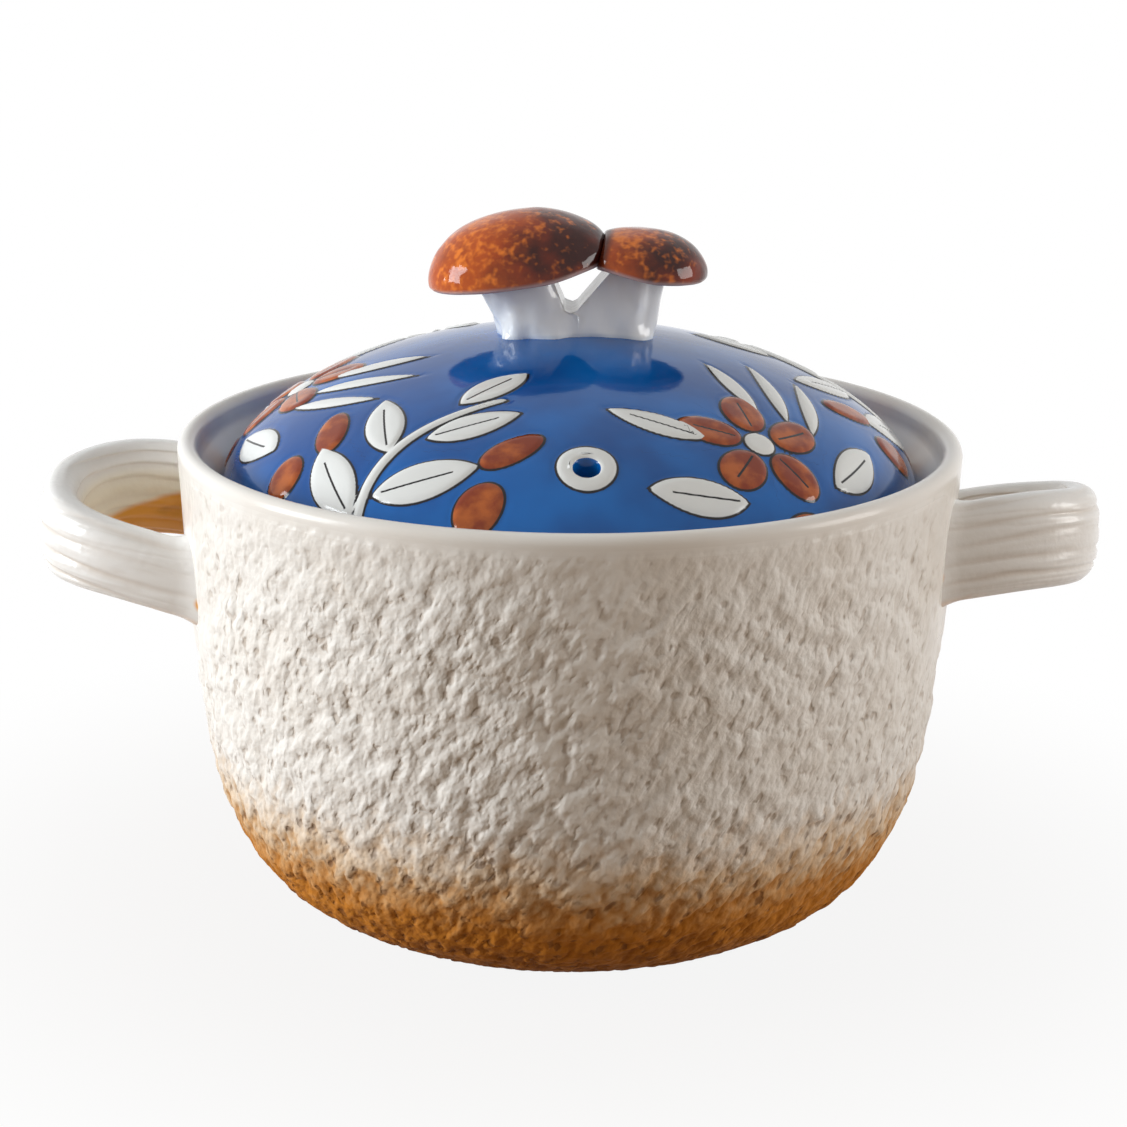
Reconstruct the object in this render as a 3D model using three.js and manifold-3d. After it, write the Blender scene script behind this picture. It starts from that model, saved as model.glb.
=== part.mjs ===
// A round stoneware casserole pot with two side loop handles and a domed lid, which sits
// sunken inside the pot's rim and is lifted by a knob made as a pair of mushrooms.
// Millimetres, +Z up. The origin is the centre of the foot, on the table. The handles
// lie along X, and the lid's steam vent is at its front, at -Y.

import * as THREE from 'three';
import { mergeVertices } from 'three/addons/utils/BufferGeometryUtils.js';
import Module from 'manifold-3d';

const wasm = await Module();
wasm.setup();

// Pot
const RIM_RADIUS = 100; // outside of the lip
const POT_HEIGHT = 126; // table to the crest of the lip
const LIP_THICKNESS = 5; // round lip
const WALL = 5.5; // bowl below the seat
const FLOOR = 7; // above the hollow of the foot
const FOOT_RADIUS = 52;
const FOOT_RING_WIDTH = 8;
const FOOT_HOLLOW = 2; // height of the hollow inside the foot ring
const BELLY_TUCK = 4.8; // how far the bowl's guide points lie inside the rim
const BELLY_LOW = 11.8; // height of the lower guide point, which rounds the heel
const BELLY_HIGH = 37.4; // height of the upper guide point, which fills the side
const SEAT_HEAD = 6; // crest of the lip down to the head of the slope that carries the lid
const SEAT_FOOT = 19; // crest of the lip down to the foot of that slope
const SEAT_WIDTH = 11; // how far the slope reaches in from the mouth
const THROAT_HEIGHT = 7; // upright face below the slope
const CRUMPLE_DEPTH = 0.9; // how far the crumpled clay is pressed in
const CRUMPLE_HEIGHT = 16; // of one mound and one hollow
const CRUMPLES = 24; // mounds round the pot
const CRUMPLE_BEND = 2; // 0 sets the mounds in straight rows
const CRUMPLE_FADE = 14; // distance over which the crumples fade to the lip, foot and handles

// Handles: a curled strip of clay, whose one leg meets the wall lower than the other
const HANDLE_REACH = 36.3; // past the rim, outside of the bend
const HANDLE_SPREAD = 63; // across the legs, outside
const HANDLE_SQUARENESS = 2.5; // 2 bends the strip as an ellipse, more as a square
const STRIP_THICKNESS = 11;
const STRIP_SQUARENESS = 2.7; // 2 makes the strip's section an ellipse, more a square
// Edges of the strip, down from the crest of the lip, at even steps along it
const HIGH_ROOT = { top: 11.3, bottom: 36.5 };
const HIGH_LEG = { top: 8.8, bottom: 34 };
const BEND = { top: 12.2, bottom: 36 };
const LOW_LEG = { top: 18, bottom: 37.8 };
const LOW_ROOT = { top: 23.2, bottom: 43.3 };
const FLUTES = 4; // grooves along the outside of the strip
const FLUTE_DEPTH = 0.9;

// Lid
const LID_DEPTH = 16.7; // crest of the lip down to the plane from which the dome rises
const LID_SIDE_GAP = 5.5; // between the dome and the mouth, in that plane
const LID_RISE = 43.5; // that plane up to the crown of the dome
const LID_WALL = 5;
const DOME_SHOULDER = 1.81; // under 2 draws the dome's shoulder in
const DOME_CROWN = 2.04; // over 2 flattens the dome's crown
const RING_DEPTH = 8; // locating ring, below the plane of the dome
const RING_WIDTH = 4;
const RING_GAP = 0.8; // between the locating ring and the throat
const VENT_DIAMETER = 6.5; // of its mouth, on the dome
const VENT_INSET = 7.6; // locating ring in to the middle of the vent
const VENT_TURN = 3.2; // degrees round the lid from its front

// Knob: lengths lie along X and depths along Y, heights are above the dome's crown
const KNOB_SEAM = 7.6; // place of the seam between the two caps
const LARGE_CAP = { length: 48, depth: 38, height: 15.8, centre: -12.8, lift: 15, tilt: 9 };
const SMALL_CAP = { length: 34, depth: 30, height: 10.4, centre: 17.9, lift: 16, tilt: -6 };
const CAP_EDGE = 1.6; // radius of the round edge of both caps
const CAP_HOLLOW = 1.2; // how far the underside rises inside the edge
const CAP_FLAT = 0.5; // flat part of the underside, as a share of the cap's radius
const STEM_SEAM = 0.3; // place of the seam between the two stems
const STEM_SQUARENESS = 2.4; // 2 makes a stem's section an ellipse, more a square
const STEM_FORK = 5.7; // height up to which the stems are pressed together
const STEM_TENON = 0.33; // how far a stem would reach into its cap, as a share of the cap's height
const LARGE_STEM = { foot: -7.4, footLength: 21.6, head: -10.4, headLength: 31, depth: 20 };
const SMALL_STEM = { foot: 8.7, footLength: 25, head: 9.7, headLength: 29, depth: 15 };
const WINDOW_FOOT = { left: -1.4, right: 0.9 }; // where the stems part, at the fork
const WINDOW_HEAD = { left: -6.5, right: 11.8, height: 18.8 }; // where they enter the caps

// Clearances
const LUTING_GAP = 0.3; // between pieces that are luted together
const SEAT_GAP = 0.5; // between the lid and its seat, upwards

// Fineness of the round shapes
const POT_STEPS = 72;
const SIDE_STEPS = 24;
const ROUND_STEPS = 48;
const CAP_STEPS = 36;
const STEM_STEPS = 32;
const VENT_STEPS = 24;
const PROFILE_STEPS = 14;
const CAP_PROFILE_STEPS = 9;
const EDGE_STEPS = 6;
const HANDLE_STATIONS = 25;
const STRIP_STEPS = 32;
const MERGE_DISTANCE = 1e-4;
const HALVINGS = 20; // of a search for the place where two curves meet

// Sizes that follow from those above
const MOUTH_RADIUS = RIM_RADIUS - LIP_THICKNESS;
const SEAT_Z = POT_HEIGHT - SEAT_FOOT;
const SEAT_SLOPE = (SEAT_FOOT - SEAT_HEAD) / SEAT_WIDTH;
const THROAT_RADIUS = MOUTH_RADIUS - SEAT_WIDTH;
const FLOOR_Z = FOOT_HOLLOW + FLOOR;
const LID_Z = POT_HEIGHT - LID_DEPTH;
const LID_RADIUS = MOUTH_RADIUS - LID_SIDE_GAP;
const RING_OUTER = THROAT_RADIUS - RING_GAP;
const RING_INNER = RING_OUTER - RING_WIDTH;
const VENT_DISTANCE = RING_INNER - VENT_INSET; // from the lid's axis

// A closed mesh as a solid for cutting and joining.
function solidOf(geometry) {
  const bare = geometry.clone();
  bare.deleteAttribute('normal');
  bare.deleteAttribute('uv');
  const merged = mergeVertices(bare, MERGE_DISTANCE);
  return new wasm.Manifold(new wasm.Mesh({
    numProp: 3,
    vertProperties: new Float32Array(merged.attributes.position.array),
    triVerts: new Uint32Array(merged.index.array),
  }));
}

// A solid back as a mesh.
function geometryOf(solid) {
  const mesh = solid.getMesh();
  const geometry = new THREE.BufferGeometry();
  geometry.setAttribute('position', new THREE.BufferAttribute(new Float32Array(mesh.vertProperties), 3));
  geometry.setIndex(new THREE.BufferAttribute(new Uint32Array(mesh.triVerts), 1));
  geometry.computeVertexNormals();
  return geometry;
}

// A profile of (radius, height) points turned about Z. The profile runs with the
// material on its left, seen with the radius to the right and the height upwards.
function revolve(profile, steps) {
  return new THREE.LatheGeometry(profile, steps).rotateX(Math.PI / 2);
}

// A solid lofted through rings of points, all of one length, with flat ends.
// Each ring runs anticlockwise seen from the loft's far end.
function loft(rings) {
  const count = rings[0].length;
  const points = rings.flat();
  const faces = [];
  for (let station = 0; station + 1 < rings.length; station += 1) {
    for (let i = 0; i < count; i += 1) {
      const a = station * count + i;
      const b = station * count + ((i + 1) % count);
      faces.push(a, b, b + count, a, b + count, a + count);
    }
  }
  const near = points.length;
  const far = near + 1;
  const middle = (ring) => ring.reduce((sum, p) => sum.add(p), new THREE.Vector3()).divideScalar(count);
  points.push(middle(rings[0]), middle(rings.at(-1)));
  const last = (rings.length - 1) * count;
  for (let i = 0; i < count; i += 1) {
    const next = (i + 1) % count;
    faces.push(near, next, i, far, last + i, last + next);
  }
  const geometry = new THREE.BufferGeometry().setFromPoints(points);
  geometry.setIndex(faces);
  geometry.computeVertexNormals();
  return geometry;
}

// A cosine or sine drawn out to the outline of a superellipse.
const drawn = (value, power) => Math.sign(value) * Math.abs(value) ** (2 / power);

// Outside of the bowl, from the foot up to the lip.
function bowlCurve() {
  return new THREE.CubicBezierCurve(
    new THREE.Vector2(FOOT_RADIUS, 0),
    new THREE.Vector2(RIM_RADIUS - BELLY_TUCK, BELLY_LOW),
    new THREE.Vector2(RIM_RADIUS - BELLY_TUCK, BELLY_HIGH),
    new THREE.Vector2(RIM_RADIUS, POT_HEIGHT - LIP_THICKNESS / 2),
  );
}

const bowlSide = () => bowlCurve().getSpacedPoints(SIDE_STEPS);

// Points at a distance inside the bowl's outside, from the floor up to a height.
function bowlInside(distance, lowest, highest) {
  const curve = bowlCurve();
  const points = [];
  for (let i = 0; i <= PROFILE_STEPS; i += 1) {
    const t = i / PROFILE_STEPS;
    const along = curve.getTangent(t);
    const inward = new THREE.Vector2(-along.y, along.x);
    const point = curve.getPoint(t).addScaledVector(inward, distance);
    if (point.y > lowest && point.y < highest) points.push(point);
  }
  return points;
}

// How far the clay is pressed in at a place on the pot's side: waves round the pot and up
// its side, each bent by the other. The lip, the foot and the handles' roots stay smooth.
function crumpleDepth(at) {
  const { smoothstep } = THREE.MathUtils;
  const turn = Math.atan2(at.y, at.x);
  const rise = (2 * Math.PI * at.z) / CRUMPLE_HEIGHT;
  const around = Math.sin(CRUMPLES * turn + CRUMPLE_BEND * Math.sin(rise / 3));
  const upwards = Math.sin(rise + CRUMPLE_BEND * Math.sin((CRUMPLES / 2) * turn));
  const besideHandle = smoothstep(Math.abs(at.y) - HANDLE_SPREAD / 2, 0, CRUMPLE_FADE);
  const belowHandle = smoothstep(POT_HEIGHT - LOW_ROOT.bottom - at.z, 0, CRUMPLE_FADE);
  const belowLip = smoothstep(POT_HEIGHT - LIP_THICKNESS - at.z, 0, CRUMPLE_FADE);
  const aboveFoot = smoothstep(at.z, 0, CRUMPLE_FADE);
  const share = Math.max(besideHandle, belowHandle) * belowLip * aboveFoot;
  return CRUMPLE_DEPTH * share * (1 + around * upwards) / 2;
}

// Presses crumples into a turned piece, on those rows of its profile that are the side.
function crumple(turned, profile, side) {
  const first = profile.indexOf(side[0]);
  const places = turned.attributes.position;
  const at = new THREE.Vector3();
  for (let i = 0; i < places.count; i += 1) {
    const row = i % profile.length;
    if (row < first || row >= first + side.length) continue;
    at.fromBufferAttribute(places, i);
    const narrowed = 1 - crumpleDepth(at) / Math.hypot(at.x, at.y);
    places.setXY(i, at.x * narrowed, at.y * narrowed);
  }
}

function potBody() {
  const throatFoot = SEAT_Z - THROAT_HEIGHT;
  const inside = bowlInside(WALL, FLOOR_Z, throatFoot - SEAT_WIDTH).reverse();
  const floorEdge = inside.at(-1).x - WALL;
  const lip = new THREE.Path().absarc(
    RIM_RADIUS - LIP_THICKNESS / 2, POT_HEIGHT - LIP_THICKNESS / 2, LIP_THICKNESS / 2, 0, Math.PI,
  );
  const side = bowlSide().slice(0, -1);
  const profile = [
    new THREE.Vector2(0, FOOT_HOLLOW),
    new THREE.Vector2(FOOT_RADIUS - FOOT_RING_WIDTH - FOOT_HOLLOW, FOOT_HOLLOW),
    new THREE.Vector2(FOOT_RADIUS - FOOT_RING_WIDTH, 0),
    ...side,
    ...lip.getPoints(EDGE_STEPS),
    new THREE.Vector2(MOUTH_RADIUS, POT_HEIGHT - SEAT_HEAD),
    new THREE.Vector2(THROAT_RADIUS, SEAT_Z),
    new THREE.Vector2(THROAT_RADIUS, throatFoot),
    ...inside,
    new THREE.Vector2(floorEdge, FLOOR_Z),
    new THREE.Vector2(0, FLOOR_Z),
  ];
  const body = revolve(profile, POT_STEPS);
  crumple(body, profile, side);
  return geometryOf(solidOf(body));
}

// All that lies inside the pot's outside and its luting gap.
function potCutter() {
  const grown = bowlSide().map((p) => new THREE.Vector2(p.x + LUTING_GAP, p.y));
  return solidOf(revolve([
    new THREE.Vector2(0, 0),
    ...grown,
    new THREE.Vector2(RIM_RADIUS + LUTING_GAP, POT_HEIGHT),
    new THREE.Vector2(0, POT_HEIGHT),
  ], POT_STEPS));
}

// The strip's cross-section: a rounded bar, fluted along its outside.
// The returned points are (outwards, upwards) from the strip's middle.
function stripSection(height) {
  return Array.from({ length: STRIP_STEPS }, (_, i) => {
    const angle = (-2 * Math.PI * i) / STRIP_STEPS;
    const up = drawn(Math.sin(angle), STRIP_SQUARENESS);
    const out = drawn(Math.cos(angle), STRIP_SQUARENESS);
    const groove = out > 0 ? out * (0.5 - 0.5 * Math.cos(Math.PI * FLUTES * (up + 1))) : 0;
    return new THREE.Vector2(out * STRIP_THICKNESS / 2 - groove * FLUTE_DEPTH, up * height / 2);
  });
}

// Middle line of the strip, seen from above: half of a superellipse, from the high leg at
// -Y round the bend to the low leg at +Y. Both ends lie inside the pot's wall.
class StripLine extends THREE.Curve {
  getPoint(t, target = new THREE.Vector3()) {
    const root = MOUTH_RADIUS - WALL;
    const reach = RIM_RADIUS + HANDLE_REACH - STRIP_THICKNESS / 2 - root;
    const halfSpread = (HANDLE_SPREAD - STRIP_THICKNESS) / 2;
    return target.set(
      root + reach * drawn(Math.sin(Math.PI * t), HANDLE_SQUARENESS),
      -halfSpread * drawn(Math.cos(Math.PI * t), HANDLE_SQUARENESS),
      0,
    );
  }
}

// A smooth run of heights along the strip, for its top or its bottom edge.
function stripEdge(edge) {
  const places = [HIGH_ROOT, HIGH_LEG, BEND, LOW_LEG, LOW_ROOT];
  return new THREE.SplineCurve(places.map((at, i) => new THREE.Vector2(i, POT_HEIGHT - at[edge])));
}

// The handle at +X.
function handle() {
  const line = new StripLine();
  const topEdge = stripEdge('top');
  const bottomEdge = stripEdge('bottom');
  const rings = [];
  for (let station = 0; station < HANDLE_STATIONS; station += 1) {
    const u = station / (HANDLE_STATIONS - 1);
    const top = topEdge.getPoint(u).y;
    const bottom = bottomEdge.getPoint(u).y;
    const place = line.getPointAt(u);
    const along = line.getTangentAt(u);
    rings.push(stripSection(top - bottom).map((p) => new THREE.Vector3(
      place.x + along.y * p.x, place.y - along.x * p.x, (top + bottom) / 2 + p.y,
    )));
  }
  return geometryOf(solidOf(loft(rings)).subtract(potCutter()));
}

// A dome over its plane, from its edge up to the axis, as a superellipse quarter.
function domeCurve(radius, rise, steps) {
  return Array.from({ length: steps + 1 }, (_, i) => {
    const angle = (Math.PI / 2) * (1 - i / steps);
    return new THREE.Vector2(
      radius * drawn(Math.sin(angle), DOME_SHOULDER),
      rise * drawn(Math.cos(angle), DOME_CROWN),
    );
  });
}

// Height of the dome's outside above its plane, at a distance from the axis.
function domeHeight(distance) {
  const sine = (distance / LID_RADIUS) ** (DOME_SHOULDER / 2);
  return LID_RISE * drawn(Math.sqrt(1 - sine * sine), DOME_CROWN);
}

// Height of the lid's sloping edge above the dome's plane, at a distance from the axis.
const edgeHeight = (distance) => SEAT_Z + SEAT_GAP - LID_Z + (distance - THROAT_RADIUS) * SEAT_SLOPE;

// Distance from the axis at which the dome meets that edge.
function lidReach() {
  let inner = THROAT_RADIUS;
  let outer = LID_RADIUS;
  for (let i = 0; i < HALVINGS; i += 1) {
    const middle = (inner + outer) / 2;
    if (domeHeight(middle) > edgeHeight(middle)) inner = middle;
    else outer = middle;
  }
  return inner;
}

// A bit for the steam vent. It goes straight down, and is drawn in along the dome's fall
// so that the mouth is round on the sloping face.
function ventCutter() {
  const radius = VENT_DIAMETER / 2;
  const fall = domeHeight(VENT_DISTANCE - radius) - domeHeight(VENT_DISTANCE + radius);
  const length = 2 * (VENT_DIAMETER + LID_WALL); // out through both faces of the dome
  const bit = new THREE.CylinderGeometry(radius, radius, length, VENT_STEPS);
  bit.rotateX(Math.PI / 2);
  bit.scale(1, Math.cos(Math.atan(fall / VENT_DIAMETER)), 1);
  bit.translate(0, -VENT_DISTANCE, domeHeight(VENT_DISTANCE));
  bit.rotateZ(THREE.MathUtils.degToRad(VENT_TURN));
  return solidOf(bit);
}

// The lid, in its own frame: the dome's plane is z = 0.
function lidShell() {
  const inside = domeCurve(LID_RADIUS - LID_WALL, LID_RISE - LID_WALL, PROFILE_STEPS)
    .filter((p) => p.x < RING_INNER)
    .reverse();
  const reach = lidReach();
  const outside = domeCurve(LID_RADIUS, LID_RISE, PROFILE_STEPS).filter((p) => p.x < reach);
  const shell = revolve([
    ...inside,
    new THREE.Vector2(RING_INNER, inside.at(-1).y),
    new THREE.Vector2(RING_INNER, -RING_DEPTH),
    new THREE.Vector2(RING_OUTER, -RING_DEPTH),
    new THREE.Vector2(RING_OUTER, edgeHeight(RING_OUTER)),
    new THREE.Vector2(reach, edgeHeight(reach)),
    ...outside,
  ], ROUND_STEPS);
  return geometryOf(solidOf(shell).subtract(ventCutter()));
}

// All that lies inside the lid's dome and its luting gap.
function lidCutter() {
  const dome = domeCurve(LID_RADIUS, LID_RISE, PROFILE_STEPS);
  return solidOf(revolve([
    new THREE.Vector2(0, 0),
    ...dome.map((p) => new THREE.Vector2(p.x, p.y + LUTING_GAP)),
  ], ROUND_STEPS));
}

// A block that takes all of the knob on one side of a seam at x, less the luting gap.
function seamCutter(x, side) {
  const size = 2 * (LARGE_CAP.length + SMALL_CAP.length);
  const block = new THREE.BoxGeometry(size, size, size);
  block.translate(x + side * (size - LUTING_GAP) / 2, 0, LID_RISE);
  return solidOf(block);
}

// A mushroom cap, before its seam is cut: a dome with a round edge and a shallow hollow
// underneath, made round, drawn out to its length and depth, and tilted.
function capBlank(cap, grown) {
  const radius = cap.length / 2;
  const edge = new THREE.Path().absarc(radius - CAP_EDGE, 0, CAP_EDGE + grown, -Math.PI / 2, 0);
  const dome = Array.from({ length: CAP_PROFILE_STEPS }, (_, i) => {
    const angle = (Math.PI / 2) * ((i + 1) / CAP_PROFILE_STEPS);
    return new THREE.Vector2(
      (radius + grown) * Math.cos(angle),
      (cap.height + grown) * Math.sin(angle),
    );
  });
  dome.at(-1).x = 0;
  const blank = revolve([
    new THREE.Vector2(0, CAP_HOLLOW - CAP_EDGE - grown),
    new THREE.Vector2(radius * CAP_FLAT, CAP_HOLLOW - CAP_EDGE - grown),
    ...edge.getPoints(EDGE_STEPS),
    ...dome,
  ], CAP_STEPS);
  blank.scale(1, cap.depth / cap.length, 1);
  blank.rotateY(THREE.MathUtils.degToRad(-cap.tilt));
  blank.translate(cap.centre, 0, LID_RISE + cap.lift);
  return solidOf(blank);
}

const mushroomCap = (cap, side) => geometryOf(capBlank(cap, 0).subtract(seamCutter(KNOB_SEAM, side)));

// A wedge for the window between the stems, from the fork up into the caps.
function windowCutter() {
  const outline = new THREE.Shape([
    new THREE.Vector2(WINDOW_FOOT.left, STEM_FORK),
    new THREE.Vector2(WINDOW_FOOT.right, STEM_FORK),
    new THREE.Vector2(WINDOW_HEAD.right, WINDOW_HEAD.height),
    new THREE.Vector2(WINDOW_HEAD.left, WINDOW_HEAD.height),
  ]);
  const depth = 2 * LARGE_STEM.depth;
  const wedge = new THREE.ExtrudeGeometry(outline, { depth, bevelEnabled: false });
  wedge.rotateX(Math.PI / 2).translate(0, depth / 2, LID_RISE);
  return solidOf(wedge);
}

// A mushroom stem: straight up from its foot on the dome to the fork, then leaning to its
// head inside the cap. Its foot, head, side at the seam and side at the window are cut to fit.
function mushroomStem(stem, cap, side) {
  const ring = (centre, length, z) => Array.from({ length: STEM_STEPS }, (_, i) => {
    const angle = (2 * Math.PI * i) / STEM_STEPS;
    return new THREE.Vector3(
      centre + (length / 2) * drawn(Math.cos(angle), STEM_SQUARENESS),
      (stem.depth / 2) * drawn(Math.sin(angle), STEM_SQUARENESS),
      z,
    );
  });
  const blank = loft([
    ring(stem.foot, stem.footLength, LID_RISE - LID_WALL),
    ring(stem.foot, stem.footLength, LID_RISE + STEM_FORK),
    ring(stem.head, stem.headLength, LID_RISE + cap.lift + cap.height * STEM_TENON),
  ]);
  return geometryOf(solidOf(blank)
    .subtract(lidCutter())
    .subtract(capBlank(LARGE_CAP, LUTING_GAP))
    .subtract(capBlank(SMALL_CAP, LUTING_GAP))
    .subtract(seamCutter(STEM_SEAM, side))
    .subtract(windowCutter()));
}

// Glazes and clay
const creamGlaze = { color: 0xe6e0d6, roughness: 0.5, metalness: 0 };
const handleGlaze = { color: 0xe9e4dc, roughness: 0.3, metalness: 0 };
const blueGlaze = { color: 0x1d4a86, roughness: 0.12, metalness: 0 };
const whiteGlaze = { color: 0xe4e9ee, roughness: 0.15, metalness: 0 };
const brownGlaze = { color: 0x6e2a10, roughness: 0.12, metalness: 0 };

function piece(name, geometry, glaze) {
  const mesh = new THREE.Mesh(geometry, new THREE.MeshStandardMaterial(glaze));
  mesh.name = name;
  return mesh;
}

// Assembly
const loop = handle();
const rightHandle = piece('handle_right', loop, handleGlaze);
const leftHandle = piece('handle_left', loop.clone(), handleGlaze);
leftHandle.rotation.z = Math.PI;

const knob = new THREE.Group();
knob.add(piece('knob_stem_large', mushroomStem(LARGE_STEM, LARGE_CAP, 1), whiteGlaze));
knob.add(piece('knob_stem_small', mushroomStem(SMALL_STEM, SMALL_CAP, -1), whiteGlaze));
knob.add(piece('knob_cap_large', mushroomCap(LARGE_CAP, 1), brownGlaze));
knob.add(piece('knob_cap_small', mushroomCap(SMALL_CAP, -1), brownGlaze));

const lid = new THREE.Group();
lid.add(piece('lid_shell', lidShell(), blueGlaze), knob);
lid.position.z = LID_Z;

const pot = new THREE.Group();
pot.add(piece('pot_body', potBody(), creamGlaze), leftHandle, rightHandle);

const casserole = new THREE.Group();
casserole.add(pot, lid);

export default casserole;
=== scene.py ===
"""Looks of a stoneware casserole pot: crumpled body, loop handles, blue lid, mushroom knob."""

import itertools
import logging
import math
from dataclasses import dataclass
from enum import Enum
from typing import Protocol

import bpy
import numpy as np
from mathutils import Matrix


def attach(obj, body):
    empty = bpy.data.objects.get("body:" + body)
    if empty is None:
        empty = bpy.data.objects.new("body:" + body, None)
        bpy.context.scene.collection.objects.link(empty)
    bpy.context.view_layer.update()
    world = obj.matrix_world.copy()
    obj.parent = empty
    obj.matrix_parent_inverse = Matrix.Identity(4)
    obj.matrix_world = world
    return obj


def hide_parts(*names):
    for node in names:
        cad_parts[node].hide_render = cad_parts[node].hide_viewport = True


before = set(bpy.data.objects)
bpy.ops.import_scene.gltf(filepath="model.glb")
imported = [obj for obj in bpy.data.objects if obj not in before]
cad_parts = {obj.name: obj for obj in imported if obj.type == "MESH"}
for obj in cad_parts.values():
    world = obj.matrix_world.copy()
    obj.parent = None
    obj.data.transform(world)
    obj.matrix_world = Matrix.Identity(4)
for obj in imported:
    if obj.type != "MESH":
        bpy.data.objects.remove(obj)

Array = np.ndarray
Socket = bpy.types.NodeSocket
Colour = tuple[float, float, float]
Triple = tuple[float, float, float]
Span = tuple[float, float]  # two ends of a range, or two sizes
Relief = tuple[float, float]  # height and size of a noise's features
Source = Socket | float | Colour

MM = 0.001  # sizes below are in millimetres, and meshes in metres
UP = np.array([0.0, 0.0, 1.0])
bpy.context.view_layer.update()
log = logging.getLogger("casserole")


def smooth_step(low: float, high: float, value: Array) -> Array:
    """A rise from 0 at low to 1 at high, level at both ends: t²(3 - 2t)."""
    t = np.clip((value - low) / (high - low), 0.0, 1.0)
    return t * t * (3.0 - 2.0 * t)


def at_least(least: float, share: Array) -> Array:
    """A share from 0 to 1, squeezed to run from a least value to 1."""
    return least + (1.0 - least) * share


def bell(value: Array, width: float) -> Array:
    """A bump of 1 at zero: exp(-(v/w)²)."""
    return np.exp(-((value / width) ** 2))


def drawn(value: Array, power: float) -> Array:
    """A cosine or sine drawn out to the outline of a superellipse: sign(v)·|v|^(2/power)."""
    return np.sign(value) * np.abs(value) ** (2.0 / power)


def round_turn(count: int) -> Array:
    """Even angles round a full turn, from 0."""
    return np.linspace(0.0, 2 * math.pi, count, endpoint=False)


def rounded(corners: Array, radius: float, steps: int) -> Array:
    """A polyline with its corners rounded.

    Each inner corner c becomes the arc (1-t)²a + 2t(1-t)c + t²b, where a and b lie on its two
    sides, at the radius from c or at 0.45 of the side if that is nearer.

    Args:
        corners: Points of the polyline, one row each.
        radius: Distance from a corner at which its arc begins.
        steps: Points in each arc.

    Returns:
        The rounded line's points, with both ends kept.
    """
    before, corner, after = corners[:-2], corners[1:-1], corners[2:]

    def towards(other: Array) -> Array:
        """The point at which an arc begins on the side towards another corner.

        Args:
            other: The far corners of those sides.

        Returns:
            One point for each inner corner.
        """
        side = other - corner
        length = np.linalg.norm(side, axis=1, keepdims=True)
        return corner + side * np.minimum(radius / length, 0.45)

    t = np.linspace(0.0, 1.0, steps)[None, :, None]
    arcs = (
        (1 - t) ** 2 * towards(before)[:, None]
        + 2 * t * (1 - t) * corner[:, None]
        + t**2 * towards(after)[:, None]
    )
    return np.vstack([corners[:1], arcs.reshape(-1, corners.shape[1]), corners[-1:]])


def distances(line: Array) -> Array:
    """How far along a line each of its points lies."""
    return np.r_[0.0, np.cumsum(np.linalg.norm(np.diff(line, axis=0), axis=1))]


def directions(line: Array) -> Array:
    """Unit vectors along a line, at its points."""
    along = np.gradient(line, axis=0)
    return along / np.linalg.norm(along, axis=1, keepdims=True)


def even_steps(line: Array, count: int) -> Array:
    """A line's points moved to even distances along it, by linear interpolation.

    Args:
        line: The line's points, one row each.
        count: Points in the result.

    Returns:
        The moved points.
    """
    along = distances(line)
    at = np.linspace(0.0, along[-1], count)
    return np.stack([np.interp(at, along, axis) for axis in line.T], axis=1)


def spun(profile: Array, rays: Array) -> Array:
    """A profile of radii and heights carried round the axis: radius·ray + height·up."""
    return profile[:, None, :1] * rays + profile[:, None, 1:] * UP


def square_to(profile: Array, rays: Array) -> Array:
    """Unit vectors square to a spun profile, outwards where the profile runs up."""
    return spun(directions(profile)[:, ::-1] * (1.0, -1.0), rays)


class ClayNoise:
    """Smooth random relief in space: gradient noise on a cubic lattice."""

    TABLE = 256
    GAIN = 1.6

    def __init__(self, seed: int) -> None:
        """Draws the lattice's slopes from a seed.

        Args:
            seed: The number that the slopes follow from.
        """
        source = np.random.default_rng(seed)
        self.order = source.permutation(self.TABLE)
        slopes = source.normal(size=(self.TABLE, 3))
        self.slopes = slopes / np.linalg.norm(slopes, axis=1, keepdims=True)

    def __call__(self, points: Array, size: float | Triple) -> Array:
        """Values from about -1 to 1.

        The value is the blend of the eight lattice corners' slopes times the offsets from
        those corners, with the weights 6t⁵ - 15t⁴ + 10t³.

        Args:
            points: Places, as (..., 3).
            size: Lattice step, the same on all axes or one for each.

        Returns:
            One value for each place.
        """
        at = points / np.asarray(size, float)
        cell = np.floor(at).astype(int)
        offset = at - cell
        weight = offset**3 * (offset * (offset * 6 - 15) + 10)
        total = np.zeros(at.shape[:-1])
        for corner in itertools.product((0, 1), repeat=3):
            i, j, k = np.moveaxis((cell + corner) % self.TABLE, -1, 0)
            key = self.order[(self.order[(self.order[i] + j) % self.TABLE] + k) % self.TABLE]
            share = np.prod(np.where(corner, weight, 1 - weight), axis=-1)
            total += share * np.sum(self.slopes[key] * (offset - corner), axis=-1)
        return self.GAIN * total


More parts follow.
